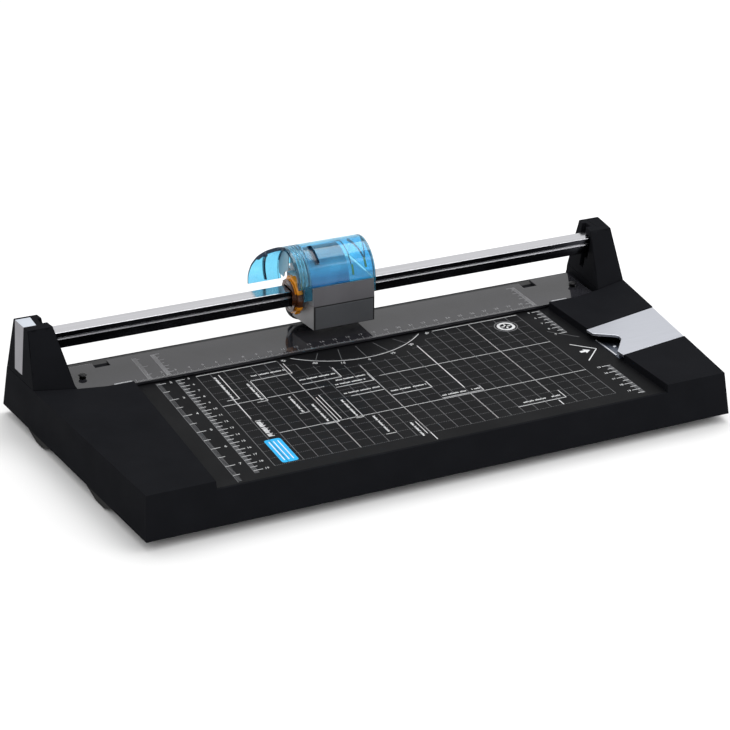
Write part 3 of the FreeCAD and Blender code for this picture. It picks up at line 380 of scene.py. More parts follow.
def plate_between(bm, one, two, index=0, rim=None):
    """Close two matching outlines into a plate; rim gives a side face's finish."""
    bm.faces.new(one[::-1]).material_index = index
    bm.faces.new(two).material_index = index
    for k in range(len(one)):
        after = (k + 1) % len(one)
        face = bm.faces.new((one[k], one[after], two[after], two[k]))
        face.material_index = rim(k) if rim else index


def disc_profile(radius, low, high, round_off=0.2):
    r = round_off
    return [(0.01, low), (radius - r, low), (radius, low + r), (radius, high - r),
            (radius - r, high), (0.01, high)]


def helix(bm, centre, radius, wire, low, high, turns, steps=22, sides=8):
    """A compression spring's wire, with its end turns closed up and ground flat."""
    rings = []
    total = int(turns * steps)
    closed = 1.0 / turns
    for step in range(total + 1):
        share = step / total
        rise = min(max((share - closed) / (1 - 2 * closed), 0.0), 1.0)
        height = low + wire + (high - low - 2 * wire) * rise
        angle = 2 * math.pi * turns * share
        out = Vector((math.cos(angle), math.sin(angle), 0))
        middle = Vector(centre) + out * radius + Vector((0, 0, height))
        ring = []
        for side in range(sides):
            a = 2 * math.pi * side / sides
            offset = out * math.cos(a) * wire + Vector((0, 0, math.sin(a) * wire))
            ring.append(bm.verts.new((middle + offset) * MM))
        rings.append(ring)
    for one, two in zip(rings, rings[1:]):
        for k in range(sides):
            bm.faces.new((one[k], one[(k + 1) % sides], two[(k + 1) % sides], two[k]))
    bm.faces.new(rings[0][::-1])
    bm.faces.new(rings[-1])


# ---------------- printing
class Print:
    """Ink laid on a flat surface: lines, dashes, arcs and numerals."""

    def __init__(self, level):
        self.bm = bmesh.new()
        self.level = level
        self.ink = 0.03

    def slab(self, corners, index=0):
        top = [self.bm.verts.new((x * MM, y * MM, (self.level + self.ink) * MM))
               for x, y in corners]
        low = [self.bm.verts.new((x * MM, y * MM, self.level * MM)) for x, y in corners]
        faces = [self.bm.faces.new(top), self.bm.faces.new(low[::-1])]
        for k in range(len(corners)):
            after = (k + 1) % len(corners)
            faces.append(self.bm.faces.new((top[after], top[k], low[k], low[after])))
        for face in faces:
            face.material_index = index

    def line(self, start, end, width, index=0):
        a, b = Vector(start), Vector(end)
        side = (b - a).normalized().orthogonal() * width / 2
        self.slab([a + side, a - side, b - side, b + side], index)

    def path(self, points, width, index=0):
        for a, b in zip(points, points[1:]):
            self.line(a, b, width, index)

    def dashes(self, start, end, pitch, width, index=0):
        a, b = Vector(start), Vector(end)
        count = max(1, int((b - a).length / pitch))
        step = (b - a) / count
        for k in range(count):
            self.line(a + step * k, a + step * (k + 0.5), width, index)

    def arc(self, centre, radius, start, end, width, index=0, steps=40):
        points = []
        for k in range(steps + 1):
            angle = math.radians(start + (end - start) * k / steps)
            points.append((centre[0] + radius * math.cos(angle),
                           centre[1] + radius * math.sin(angle)))
        self.path(points, width, index)

    def caption_bar(self, start, end, height, index=0, seed=0):
        """A row of small blocks where the original carries small writing."""
        a, b = Vector(start), Vector(end)
        length = (b - a).length
        along = (b - a) / length
        across = Vector((-along.y, along.x)) * height / 2
        here = 0.0
        k = seed
        while here < length - 0.5:
            width = 0.55 + 0.25 * ((k * 7) % 3)
            gap = 1.3 if k % 7 == 3 else 0.35
            tall = 1.0 if k % 3 == 0 else 0.4
            p = a + along * here
            q = a + along * min(here + width, length)
            self.slab([p - across, q - across, q + across * tall, p + across * tall],
                      index)
            here += width + gap
            k += 1

    def numeral(self, text, centre, height, angle=0.0, index=0):
        curve = bpy.data.curves.new("numeral", "FONT")
        curve.body = str(text)
        curve.size = height * 1.4 * MM
        curve.align_x = "CENTER"
        curve.align_y = "CENTER"
        curve.resolution_u = 2
        curve.extrude = self.ink * MM / 2
        holder = bpy.data.objects.new("numeral", curve)
        bpy.context.collection.objects.link(holder)
        bpy.context.view_layer.update()
        mesh = bpy.data.meshes.new_from_object(holder)
        mesh.transform(Matrix.Translation((centre[0] * MM, centre[1] * MM,
                                           (self.level + self.ink / 2) * MM))
                       @ Matrix.Rotation(math.radians(angle), 4, "Z"))
        before = len(self.bm.faces)
        self.bm.from_mesh(mesh)
        self.bm.faces.ensure_lookup_table()
        for face in self.bm.faces[before:]:
            face.material_index = index
        bpy.data.objects.remove(holder)
        bpy.data.meshes.remove(mesh)
        bpy.data.curves.remove(curve)

    def finish(self, name, node, *inks):
        mesh = bpy.data.meshes.new(name)
        self.bm.to_mesh(mesh)
        self.bm.free()
        return link(name, mesh, node, *inks)


BRIGHT, DIM, CYAN = 0, 1, 2
FINE, BOLD, GUIDE = 0.3, 0.55, 0.6
# A scale is its unit in mm and how many parts the unit is divided into.
INCHES = (25.4, 16)
CENTIMETRES = (10.0, 10)
SQUARE = 10.0
COLUMNS, ROWS = 25, 14
GRID_LEFT, GRID_TOP = -119.0, 48.75
CUT_LINE = 98.0
DIAL_CENTRE = (1.3, 99.35)
DIAL_RADIUS = 71.0
DIAL_CLEAR = 79.0
DIAL_RAYS_FROM = 50.6
DIAL_FIGURE = 2.8


def column(i):
    return GRID_LEFT + SQUARE * i


def row(j):
    return GRID_TOP - SQUARE * j


def below_dial(x):
    """Where a grid line may start under the protractor's figures."""
    dx = abs(x - DIAL_CENTRE[0])
    if dx >= DIAL_CLEAR:
        return GRID_TOP
    return min(GRID_TOP, DIAL_CENTRE[1] - math.sqrt(DIAL_CLEAR ** 2 - dx * dx))


def beside_dial(y):
    """How far from the middle a grid row keeps clear of the protractor."""
    dy = abs(y - DIAL_CENTRE[1])
    return math.sqrt(DIAL_CLEAR ** 2 - dy * dy) if dy < DIAL_CLEAR else 0.0


def print_grid(ink):
    for i in range(COLUMNS + 1):
        x = column(i)
        ink.line((x, below_dial(x)), (x, row(ROWS)), 0.32, DIM)
    left, right, middle = column(0), column(COLUMNS), DIAL_CENTRE[0]
    for j in range(1, ROWS + 1):
        gap = beside_dial(row(j))
        ends = [(left, middle - gap), (middle + gap, right)] if gap else [(left, right)]
        for start, end in ends:
            ink.dashes((start, row(j)), (end, row(j)), 1.25, FINE, DIM)
    gap = beside_dial(GRID_TOP)
    for j, start, end in ((0, left, middle - gap), (0, middle + gap, right),
                          (5, left, -88.0), (5, -86.6, -45.0), (5, -3.4, right),
                          (10, column(2), right)):
        ink.line((start, row(j)), (end, row(j)), BOLD)
    for x, start, end in ((-59.0, 43.0, -91.2), (-9.0, 19.0, -101.3), (41.4, 31.4, -41.7),
                          (41.0, -51.3, row(ROWS)), (91.0, row(0), -70.8),
                          (90.5, -84.4, row(ROWS))):
        ink.line((x, start), (x, end), GUIDE)


def heading(angle):
    """The unit vector at an angle in degrees."""
    a = math.radians(angle)
    return Vector((math.cos(a), math.sin(a)))


def spoke(ink, centre, angle, start, end, width, index):
    """A straight line out from a centre, between two radii."""
    out = heading(angle)
    ink.line(Vector(centre) + out * start, Vector(centre) + out * end, width, index)


def print_protractor(ink):
    """The angle guide: an arc with rays and figures, swept from the cutting line."""
    cx, cy = DIAL_CENTRE
    reach = math.degrees(math.acos((cy - GRID_TOP) / DIAL_RADIUS))
    ink.arc(DIAL_CENTRE, DIAL_RADIUS, 270 - reach, 270 + reach, 0.5, BRIGHT, 60)
    for angle in (-45, -30, -15, 0, 15, 30, 45):
        start = DIAL_RAYS_FROM / math.cos(math.radians(angle))
        if start < DIAL_RADIUS:
            spoke(ink, DIAL_CENTRE, 270 + angle, start, DIAL_RADIUS, 0.35, DIM)
        if abs(angle) < 45:
            out = heading(270 + angle) * (DIAL_RADIUS + 3.6)
            ink.numeral(abs(angle), Vector(DIAL_CENTRE) + out, DIAL_FIGURE, angle)
    for side in (-1, 1):
        where = (cx + side * 56.0, GRID_TOP - 1.5)
        ink.numeral(45, where, DIAL_FIGURE, side * 45)
    for degree in range(-44, 45):
        start = DIAL_RADIUS - (2.4 if degree % 5 == 0 else 1.3)
        if cy - start * math.cos(math.radians(degree)) < GRID_TOP:
            spoke(ink, DIAL_CENTRE, 270 + degree, start, DIAL_RADIUS, 0.2, DIM)


def print_rule(ink, base_x, side, start, end, scale, first=None, offset=9.0, height=2.2):
    """A rule along Y, counted from the cutting line; side says where its ticks point."""
    unit, parts = scale
    ink.line((base_x, start), (base_x, end), FINE, DIM)
    step = unit / parts
    k = int(math.ceil((CUT_LINE - start) / step))
    while CUT_LINE - k * step >= end:
        y = CUT_LINE - k * step
        length, shade = 3.0, DIM
        if k % parts == 0:
            length, shade = 6.6, BRIGHT
        elif k % (parts // 2) == 0:
            length, shade = 4.8, BRIGHT
        ink.line((base_x, y), (base_x + side * length, y), 0.45, shade)
        if first and k % parts == 0 and k // parts >= first:
            ink.numeral(k // parts, (base_x + side * offset, y), height)
        k += 1


# Each mark is a bracket's corners, then the two ends of each caption beside it.
SIZE_MARKS = (
    (((60.6, -82.5), (97.3, -82.5), (97.3, -71.2)),
     (((67.0, -78.0), (84.0, -78.0)), ((88.5, -78.0), (95.0, -78.0)))),
    (((20.6, -49.9), (51.8, -49.9), (51.8, -42.8)),
     (((22.2, -46.2), (40.0, -46.2)), ((44.5, -46.2), (50.6, -46.2)))),
    (((-8.3, -32.0), (21.6, -32.0), (21.6, -22.2)),
     (((-6.4, -26.0), (8.0, -26.0)), ((10.0, -26.0), (20.0, -26.0)))),
    (((-34.3, -21.8), (-9.8, -21.8)), (((-37.3, -16.5), (-10.5, -16.5)),)),
    (((-38.0, -6.0), (-9.8, -6.0), (-9.8, 5.1)),
     (((-37.0, -1.8), (-14.0, -1.8)), ((-34.0, 4.2), (-12.0, 4.2)))),
    (((-57.5, 7.8), (-28.0, 7.8), (-28.0, 23.4)), (((-56.7, 14.5), (-29.8, 14.5)),)),
    (((-69.0, -3.0), (-69.0, -31.6), (-76.1, -31.6)), (((-72.8, -6.0), (-72.8, -30.7)),)),
    (((-53.8, -11.6), (-53.8, -49.4)), (((-63.0, -22.5), (-63.0, -49.2)),)),
    (((-56.6, -14.0), (-56.6, -52.4), (-66.5, -52.4)), ()),
    (((-39.2, -25.7), (-39.2, -52.8), (-44.5, -52.8)), (((-42.5, -24.5), (-42.5, -50.0)),)),
    (((-28.9, -53.5), (-28.9, -81.6), (-36.4, -81.6)), (((-33.0, -54.5), (-33.0, -79.5)),)),
    (((-11.4, -73.2), (-11.4, -91.4)), (((-14.6, -73.2), (-14.6, -93.6)),)),
    (((-104.2, 44.6), (-104.2, 5.2), (-113.1, 5.2)), (((-107.9, 42.0), (-107.9, 6.9)),)),
    (((-108.4, 9.5), (-108.4, -25.5)), ()),
    (((-87.9, 26.4), (-87.9, -5.0), (-95.4, -5.0)), (((-91.0, 23.9), (-91.0, -3.5)),)),
    (((-87.6, 26.9), (-56.6, 26.9), (-56.6, 43.2)), (((-84.4, 33.8), (-58.6, 33.8)),)),
)


def print_size_marks(ink):
    """Corner brackets for the common sheet and photo sizes, with plain caption bars."""
    for corners, captions in SIZE_MARKS:
        ink.path(corners, 0.5)
        for k, (start, end) in enumerate(captions):
            ink.caption_bar(start, end, 1.8, seed=k + int(abs(start[0])))


def print_swatch(ink):
    """A plain coloured panel with rounded ends where the original names its maker."""
    left, right, top, low, radius = -113.0, -101.5, -57.5, -90.0, 2.0
    outline = []
    for cx, cy, first in ((right - radius, top - radius, 0),
                          (left + radius, top - radius, 90),
                          (left + radius, low + radius, 180),
                          (right - radius, low + radius, 270)):
        for k in range(6):
            a = math.radians(first + 18 * k)
            outline.append((cx + radius * math.cos(a), cy + radius * math.sin(a)))
    ink.slab(outline, CYAN)
    for k in range(3):
        x = left + 2.6 + 3.1 * k
        ink.level += ink.ink
        ink.line((x, top - 3.0), (x, low + 3.0), 0.7, BRIGHT)
        ink.level -= ink.ink
    ink.caption_bar((-105.2, -29.5), (-105.2, -54.0), 4.2, BRIGHT, seed=3)


def print_emblem(ink):
    """A plain crosshair in a ring at the middle of the right-hand squares."""
    centre = (114.6, 34.4)
    ink.arc(centre, 8.4, 0, 360, 0.7, DIM)
    ink.arc(centre, 5.6, 0, 360, 2.2, BRIGHT)
    for angle in (0, 90, 180, 270):
        spoke(ink, centre, angle, 1.0, 3.6, 1.1, BRIGHT)


def print_corner_guide(ink):
    """The bracket and arrow that send a sheet's corner into the corner rounder."""
    tip = Vector((155.0, -25.0))
    ink.path([(141.2, -11.2), tip, (140.4, -39.6)], 0.75)
    start = Vector((141.8, -25.2))
    ink.slab([start + Vector(p) for p in ((0, -1.3), (3.6, -1.3), (3.6, -3.2), (8.0, 0),
                                          (3.6, 3.2), (3.6, 1.3), (0, 1.3))], BRIGHT)
    ink.line((137.5, 14.5), (154.0, -3.0), FINE, DIM)


def print_mat():
    ink = Print(box_mm("grid_mat")[1][2])
    print_grid(ink)
    print_protractor(ink)
    print_size_marks(ink)
    print_swatch(ink)
    print_emblem(ink)
    print_corner_guide(ink)
    print_rule(ink, -148.0, 1, 49.5, -102.0, INCHES, 1, 10.2, 2.6)
    print_rule(ink, -134.0, 1, 48.6, -95.0, CENTIMETRES, 5, 9.4)
    print_rule(ink, 150.0, -1, 48.6, 8.0, CENTIMETRES, 5)
    print_rule(ink, 150.0, -1, -52.0, -98.0, CENTIMETRES, 5)
    ink.finish("mat_print", "grid_mat", INK, INK_DIM, INK_CYAN)


def print_clamp():
    """The rule along the clamp's front edge and the three short rules that cross it."""
    low, high = box_mm("clamp_strip")
    ink = Print(high[2])
    front = low[1] + 0.6
    zero, last = -160.0, 310
    for k in range(last + 1):
        length = 4.4 if k % 10 == 0 else 2.8 if k % 5 == 0 else 1.6
        ink.line((zero + k, front), (zero + k, front + length), 0.22)
        if k % 10 == 0 and 0 < k < last:
            ink.numeral(k // 10, (zero + k, front + 7.6), 2.6)
    for base_x, side, scale in ((-151.8, 1, INCHES), (-138.0, 1, CENTIMETRES),
                                (150.2, -1, CENTIMETRES)):
        print_rule(ink, base_x, side, 88.0, 53.5, scale)
    ink.finish("clamp_print", "clamp_strip", INK_FAINT, INK_FAINT)


# ---------------- cutter head
AXIS_Y, AXIS_Z = 89.25, 71.5
PIN_Y, PIN_Z = 110.0, 69.3
HOOD_OUTER = 23.5
HOOD_THICK = 1.8
HOOD_LEFT, HOOD_RIGHT = -34.5, 25.0
SLOT_X = (-18.9, -15.8)
SLOT_THETA = (43.0, 86.0)
GROOVE_WIDTH, GROOVE_DEPTH = 0.42, 0.5
CLEAR, SHADED_EDGE, GLOW, WEB = range(4)  # the order of the hood's finishes
FLAP_EDGE = ((96, -34.5), (116, -37.2), (132, -43.6), (148, -48.4), (166, -52.0),
             (184, -54.2), (199, -55.0))
HOOD_REAR = 175.0
FLAP_START, FLAP_REAR = 96.0, 201.0
FLAP_RIGHT = -29.5


def flap_left(theta):
    """The hood's left edge, which sweeps out into the flap towards the back."""
    if theta <= FLAP_EDGE[0][0]:
        return HOOD_LEFT
    for (a0, x0), (a1, x1) in zip(FLAP_EDGE, FLAP_EDGE[1:]):
        if theta <= a1:
            share = (theta - a0) / (a1 - a0)
            return x0 + (x1 - x0) * share
    return FLAP_EDGE[-1][1]


def on_hood(x, theta, radius):
    """A point round the hood: theta runs from the front edge, over the top, to the back."""
    a = math.radians(theta)
    return Vector((x, AXIS_Y - radius * math.cos(a), AXIS_Z + radius * math.sin(a))) * MM


def hood_radius(x):
    """The hood's outer radius, with shallow grooves round its left end."""
    groove = sum(math.exp(-((x - middle) / GROOVE_WIDTH) ** 2)
                 for middle in (-31.6, -29.2, -26.8, -24.4))
    return HOOD_OUTER - GROOVE_DEPTH * min(1.0, groove)


def shell_patch(bm, cells, inner):
    """A curved plate from a grid of (x, theta) cells, with its rim in the near-black painted
    shade.
    """
    outer = {}
    under = {}
    for cell in cells:
        for x, theta in cell:
            if (x, theta) not in outer:
                outer[(x, theta)] = bm.verts.new(on_hood(x, theta, hood_radius(x)))
                under[(x, theta)] = bm.verts.new(on_hood(x, theta, inner))
    sides = {}
    for cell in cells:
        corners = list(dict.fromkeys(cell))
        if len(corners) < 3:
            continue
        top = bm.faces.new([outer[c] for c in corners])
        low = bm.faces.new([under[c] for c in reversed(corners)])
        top.material_index = low.material_index = CLEAR
        for a, b in zip(corners, corners[1:] + corners[:1]):
            if (b, a) in sides:
                del sides[(b, a)]
            else:
                sides[(a, b)] = True
    for a, b in sides:
        face = bm.faces.new((outer[b], outer[a], under[a], under[b]))
        face.material_index = SHADED_EDGE


def steps_between(low, high, count):
    return [low + (high - low) * k / count for k in range(count + 1)]


def hood_cells():
    """The cells of the half tube with its slot, then those of the swept flap."""
    xs = sorted(set([HOOD_LEFT] + steps_between(-33.9, FLAP_RIGHT, 18)
                    + steps_between(FLAP_RIGHT, -23.8, 22)
                    + steps_between(-23.0, SLOT_X[0], 4) + steps_between(*SLOT_X, 4)
                    + steps_between(-14.0, HOOD_RIGHT, 14)))
    thetas = sorted(set(steps_between(1.0, SLOT_THETA[0], 18)
                        + steps_between(*SLOT_THETA, 16)
                        + steps_between(SLOT_THETA[1], FLAP_START, 4)
                        + steps_between(FLAP_START, HOOD_REAR, 30)))
    cells = []
    for x0, x1 in zip(xs, xs[1:]):
        for t0, t1 in zip(thetas, thetas[1:]):
            middle = ((x0 + x1) / 2, (t0 + t1) / 2)
            in_slot = (SLOT_X[0] < middle[0] < SLOT_X[1]
                       and SLOT_THETA[0] < middle[1] < SLOT_THETA[1])
            if not in_slot:
                cells.append([(x0, t0), (x1, t0), (x1, t1), (x0, t1)])
    low_thetas = steps_between(HOOD_REAR, FLAP_REAR, 10)
    for x0, x1 in zip(xs, xs[1:]):
        if x1 <= FLAP_RIGHT:
            for t0, t1 in zip(low_thetas, low_thetas[1:]):
                cells.append([(x0, t0), (x1, t0), (x1, t1), (x0, t1)])
    flap_thetas = [t for t in thetas if t >= FLAP_START] + low_thetas[1:]
    for t0, t1 in zip(flap_thetas, flap_thetas[1:]):
        rows = [[left + (HOOD_LEFT - left) * k / 8 for k in range(8)] + [HOOD_LEFT]
                for left in (flap_left(t0), flap_left(t1))]
        for k in range(8):
            cells.append([(rows[0][k], t0), (rows[0][k + 1], t0), (rows[1][k + 1], t1),
                          (rows[1][k], t1)])
    return cells


def build_hood():
    """The clear hood: half tube, swept flap, slot, ribs, tabs, end wall and knuckle."""
    bm = bmesh.new()
    shell_patch(bm, hood_cells(), HOOD_OUTER - HOOD_THICK)
    add_hood_ribs(bm)
    add_hood_end(bm)
    front = AXIS_Y - HOOD_OUTER + 0.2
    for left, right in ((-30.0, -24.1), (24.1, HOOD_RIGHT)):
        add_box(bm, (left, front, 62.6), (right, front + 1.4, AXIS_Z + 1.2), CLEAR)
    hood = place(bm, "hood_shell", "head_cover", BLUE, BLUE_EDGE_SHADE, GLOW_EDGE, FROST,
                 replaces=True)
    soften(hood, 0.25, 2, 50)


def arc_rib(bm, points, radius_out, radius_in, width, index):
    """A rib on the hood's inside that follows a list of (x, theta) points."""
    rings = []
    for x, theta in points:
        ring = []
        for dx, r in ((-width / 2, radius_out), (width / 2, radius_out),
                      (width / 2, radius_in), (-width / 2, radius_in)):
            ring.append(bm.verts.new(on_hood(x + dx, theta, r)))
        rings.append(ring)
    for one, two in zip(rings, rings[1:]):
        for k in range(4):
            face = bm.faces.new((one[k], one[(k + 1) % 4], two[(k + 1) % 4], two[k]))
            face.material_index = index
    for end in (rings[0][::-1], rings[-1]):
        bm.faces.new(end).material_index = index


def add_hood_ribs(bm):
    """Rings at the left end, two meeting ribs at the right, and under the slot a dark strip
    of painted shade; the dark ribs are painted shade too.
    """
    inside = HOOD_OUTER - HOOD_THICK + 0.02
    # x, first and last theta, steps, depth, width and finish
    straight = ((-31.4, 4, 160, 50, 1.3, 0.7, SHADED_EDGE), (-28.6, 4, 160, 50, 1.3, 0.5, SHADED_EDGE),
                (-25.6, 4, 160, 50, 1.3, 0.8, SHADED_EDGE), (7.8, 32, 160, 40, 0.9, 0.5, SHADED_EDGE),
                (8.4, 12, 32, 12, 1.0, 1.5, GLOW), (18.8, 22, 42, 12, 1.6, 1.2, GLOW),
                (24.2, 50, 92, 20, 1.4, 0.9, SHADED_EDGE), (-17.35, 42, 87, 24, 0.7, 3.4, SHADED_EDGE))
    for x, start, end, count, depth, width, index in straight:
        arc_rib(bm, [(x, theta) for theta in steps_between(start, end, count)], inside,
                inside - depth, width, index)
    rim = [(flap_left(theta) + 0.9, theta) for theta in steps_between(4, 150, 60)]
    arc_rib(bm, rim, HOOD_OUTER - 0.02, inside - 0.9, 1.6, SHADED_EDGE)
    # first and last x, first and last theta, depth and width
    slanted = ((18.8, 14.0, 40, 96, 1.6, 0.7), (19.2, 23.2, 40, 84, 1.6, 0.7),
               (-44.7, -42.1, 120, 198, 3.2, 1.3))
    for first_x, last_x, start, end, depth, width in slanted:
        points = list(zip(steps_between(first_x, last_x, 20), steps_between(start, end, 20)))
        arc_rib(bm, points, inside, inside - depth, width, SHADED_EDGE)


def add_hood_end(bm):
    """The right end wall, the frosted web behind the dial, and the hinge knuckle."""
    inside = HOOD_OUTER - HOOD_THICK
    count = 40
    wall = [[bm.verts.new(on_hood(x, theta, inside + 0.05))
             for theta in steps_between(1.5, HOOD_REAR, count)]
            for x in (HOOD_RIGHT - 1.5, HOOD_RIGHT - 0.25)]
    plate_between(bm, *wall, CLEAR, lambda k: CLEAR if k < count else SHADED_EDGE)
    web = []
    for x in (-31.2, -30.4):
        outline = [bm.verts.new(on_hood(x, theta, inside - 0.05))
                   for theta in steps_between(96, 176, 20)]
        for y, z in ((PIN_Y, 68.2), (101.5, 68.2), (99.5, 72.5), (93.3, 76.5)):
            outline.append(bm.verts.new(Vector((x, y, z)) * MM))
        web.append(outline)
    plate_between(bm, *web, WEB)
    half = 12.0
    turned(bm, [(1.25, -half), (2.3, -half), (2.3, half), (1.25, half)],
           (0, PIN_Y, PIN_Z), "x", 28, CLEAR)
    add_box(bm, (-half, PIN_Y + 0.2, PIN_Z + 1.6), (half, PIN_Y + 2.1, AXIS_Z + 3.6), CLEAR)


def build_dial():
    """The orange selector ring: a lobed grip round a plain hub seat, dark brown at its
    middle height and on a rim over the hub's end, as painted shade and dark reflection.
    """
    low, high = box_mm("selector_dial")
    left, right = low[0], high[0]
    centre = (0, *middle_of(low, high)[1:])
    bm = bmesh.new()
    turned(bm, ring_profile(10.28, 14.2, left, right, 0.7), centre, "x", 120, 0, 12, 0.9)
    for k in range(12):
        turned(bm, disc_profile(0.55, left - 0.15, left + 0.4, 0.1),
               around(centre, 11.7, 30 * k), "x", 14, 1)
    mesh = finish_mesh(bm, "dial_ring")
    for face in mesh.polygons:
        face.material_index = 1 - away_from_middle(face)
    dial = link("dial_ring", mesh, "selector_dial", AMBER, AMBER_SHADE, replaces=True)
    soften(dial, 0.12, 2, 40)
    # painted shade: a dark brown rim and bars over the hub's end
    hub = box_mm("head_housing")[0][0]
    bm = bmesh.new()
    turned(bm, ring_profile(10.0, 11.9, hub - 0.35, hub + 0.05, 0.15), centre, "x", 64)
    for low_y, high_y, low_z, high_z in ((-9.6, 9.6, 6.6, 8.4), (-9.6, 9.6, -8.4, -6.6),
                                         (-9.2, -7.1, -6.6, 6.6), (7.1, 9.2, -6.6, 6.6)):
        add_box(bm, (hub - 0.3, centre[1] + low_y, centre[2] + low_z),
                (hub, centre[1] + high_y, centre[2] + high_z))
    soften(place(bm, "hub_end_rim", "head_housing", AMBER_SHADE), 0.1)


def build_magazine():
    """The blade magazine: the CAD block plus a flanged end with two dark catch pins."""
    dress("blade_magazine", MAGAZINE, width=0.5)
    left = box_mm("blade_magazine")[0][0]
    bm = bmesh.new()
    plate_between(bm, *([bm.verts.new(on_hood(x, theta, 20.2))
                         for theta in steps_between(2, 150, 36)]
                        for x in (left - 1.0, left - 0.02)))
    for radius, reach, back, rise in ((1.3, 2.6, 1.0, 14.5), (0.9, 2.2, 6.0, 11.0)):
        turned(bm, disc_profile(radius, left - reach, left - 0.9),
               (0, AXIS_Y - back, AXIS_Z + rise), "x", 20, 1)
    soften(place(bm, "magazine_end", "blade_magazine", MAGAZINE, GUARD), 0.2)


def build_spare(node, waves, depth):
    """A spare blade lying on the post: a ring whose edge is wavy or notched."""
    low, high = box_mm(node)
    centre = middle_of(low, high)
    bevel_z = centre[2]
    centre[2] = 0
    profile = [(4.0, low[2]), (12.6, low[2]), (14.0, bevel_z, 1), (12.6, high[2]),
               (4.0, high[2])]
    bm = bmesh.new()
    turned(bm, profile, centre, "z", 144, 0, waves, depth)
    place(bm, node + "_ring", node, BLADE, smooth=False, replaces=True)


def build_blade():
    """The round blade: a flat disc with a ground bevel and a bored, marked middle."""
    low, high = box_mm("round_blade")
    centre = middle_of(low, high)
    centre[1] = 0
    front, rear = low[1], high[1]
    bm = bmesh.new()
    turned(bm, [(4.0, front), (12.2, front), (12.5, front + 0.05), (14.0, rear - 0.12),
                (13.9, rear), (4.0, rear)], centre, "y", 128)
    for k in range(6):
        a = math.radians(60 * k)
        spot = (centre[0] + 9 * math.cos(a), 0, centre[2] + 9 * math.sin(a))
        turned(bm, disc_profile(0.8, front - 0.06, front + 0.02, 0.02), spot, "y", 16, 1)
    place(bm, "round_blade_disc", "round_blade", BLADE, GUARD, smooth=False,
          replaces=True)


def cross_screw(bm, radius, thick, shank, length, centre, axis, outward):
    """A pan-head screw whose cross recess is a black cross of painted shade; outward is 1 or
    -1 along the axis.
    """
    top = thick * outward
    foot = -length * outward
    dish = [(0.01, top), (radius * 0.55, top), (radius * 0.85, top * 0.85),
            (radius, top * 0.45), (radius, 0), (shank, 0), (shank, foot), (0.01, foot)]
    turned(bm, dish, centre, "xyz"[axis], 28)
    # painted shade: the cross recess is not cut, a black cross of the second finish stands
    # for the shade inside it
    flat = [a for a in range(3) if a != axis]
    for long_way, short_way in (flat, flat[::-1]):
        low, high = list(centre), list(centre)
        for a, half in ((long_way, radius * 0.5), (short_way, radius * 0.13)):
            low[a] -= half
            high[a] += half
        low[axis], high[axis] = sorted((centre[axis] + top * 0.6,
                                        centre[axis] + top * 1.02))
        add_box(bm, low, high, 1)


def solids_of(node):
    """The bounding boxes, in mm, of a node's separate solids."""
    bm = bmesh.new()
    bm.from_mesh(NODES[node].data)
    bmesh.ops.remove_doubles(bm, verts=bm.verts, dist=WELD)
    left = set(bm.verts)
    boxes = []
    while left:
        queue = [left.pop()]
        seen = set(queue)
        while queue:
            vert = queue.pop()
            for edge in vert.link_edges:
                other = edge.other_vert(vert)
                if other not in seen:
                    seen.add(other)
                    queue.append(other)
        left -= seen
        low = [min(v.co[a] for v in seen) / MM for a in range(3)]
        high = [max(v.co[a] for v in seen) / MM for a in range(3)]
        boxes.append((low, high))
    bm.free()
    return sorted(boxes)


# Mesh, node, finish, axis, outward, head radius and thickness, shank radius and length.
# The rail's end screws face away from the middle, and a pin's shank fills its solid.
SCREW_SETS = (
    ("base_screw_set", "base_screws", STEEL, 2, -1, 2.6, 1.5, 1.25, 14.5),
    ("head_screw_set", "head_screws", STEEL, 1, 1, 2.6, 1.0, 1.25, 8.0),
    ("rail_screw_set", "rail_end_screws", STEEL, 0, None, 3.0, 1.7, 1.5, 13.3),
    ("clamp_pin_set", "clamp_pins", GUARD, 2, 1, 2.9, 0.9, 2.0, None),
)


def build_screws():
    for name, node, finish, axis, outward, radius, thick, shank, length in SCREW_SETS:
        bm = bmesh.new()
        for low, high in solids_of(node):
            facing = outward or (1 if low[0] > 0 else -1)
            centre = middle_of(low, high)
            centre[axis] = (high if facing > 0 else low)[axis] - facing * thick
            reach = length or high[axis] - low[axis] - thick
            cross_screw(bm, radius, thick, shank, reach, centre, axis, facing)
        place(bm, name, node, finish, GUARD, replaces=True)


# Node, the joint that presses it, how far in mm, and its turns.
COILS = (("left_lift_spring", "rail_press", 3.4, 7),
         ("right_lift_spring", "rail_press", 3.4, 7),
         ("rounder_spring", "corner_press", 1.0, 5))
WIRE = 0.42


def build_springs():
    """Coils in place of the plain tubes."""
    for node, joint, travel, turns in COILS:
        low, high = box_mm(node)
        centre = middle_of(low, high)
        centre[2] = 0
        radius = (high[0] - low[0]) / 2 - WIRE
        bm = bmesh.new()
        helix(bm, centre, radius, WIRE, low[2], high[2], turns)
        coil = place(bm, node + "_coil", node, SPRING, replaces=True)
        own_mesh(coil)
    bm = bmesh.new()
    for low, high in solids_of("clamp_springs"):
        x, y, _ = middle_of(low, high)
        add_wave_washer(bm, Vector((x, y, 0)), 2.7, 4.5, low[2], high[2] + 0.25)
    place(bm, "clamp_wave_springs", "clamp_springs", SPRING, replaces=True)


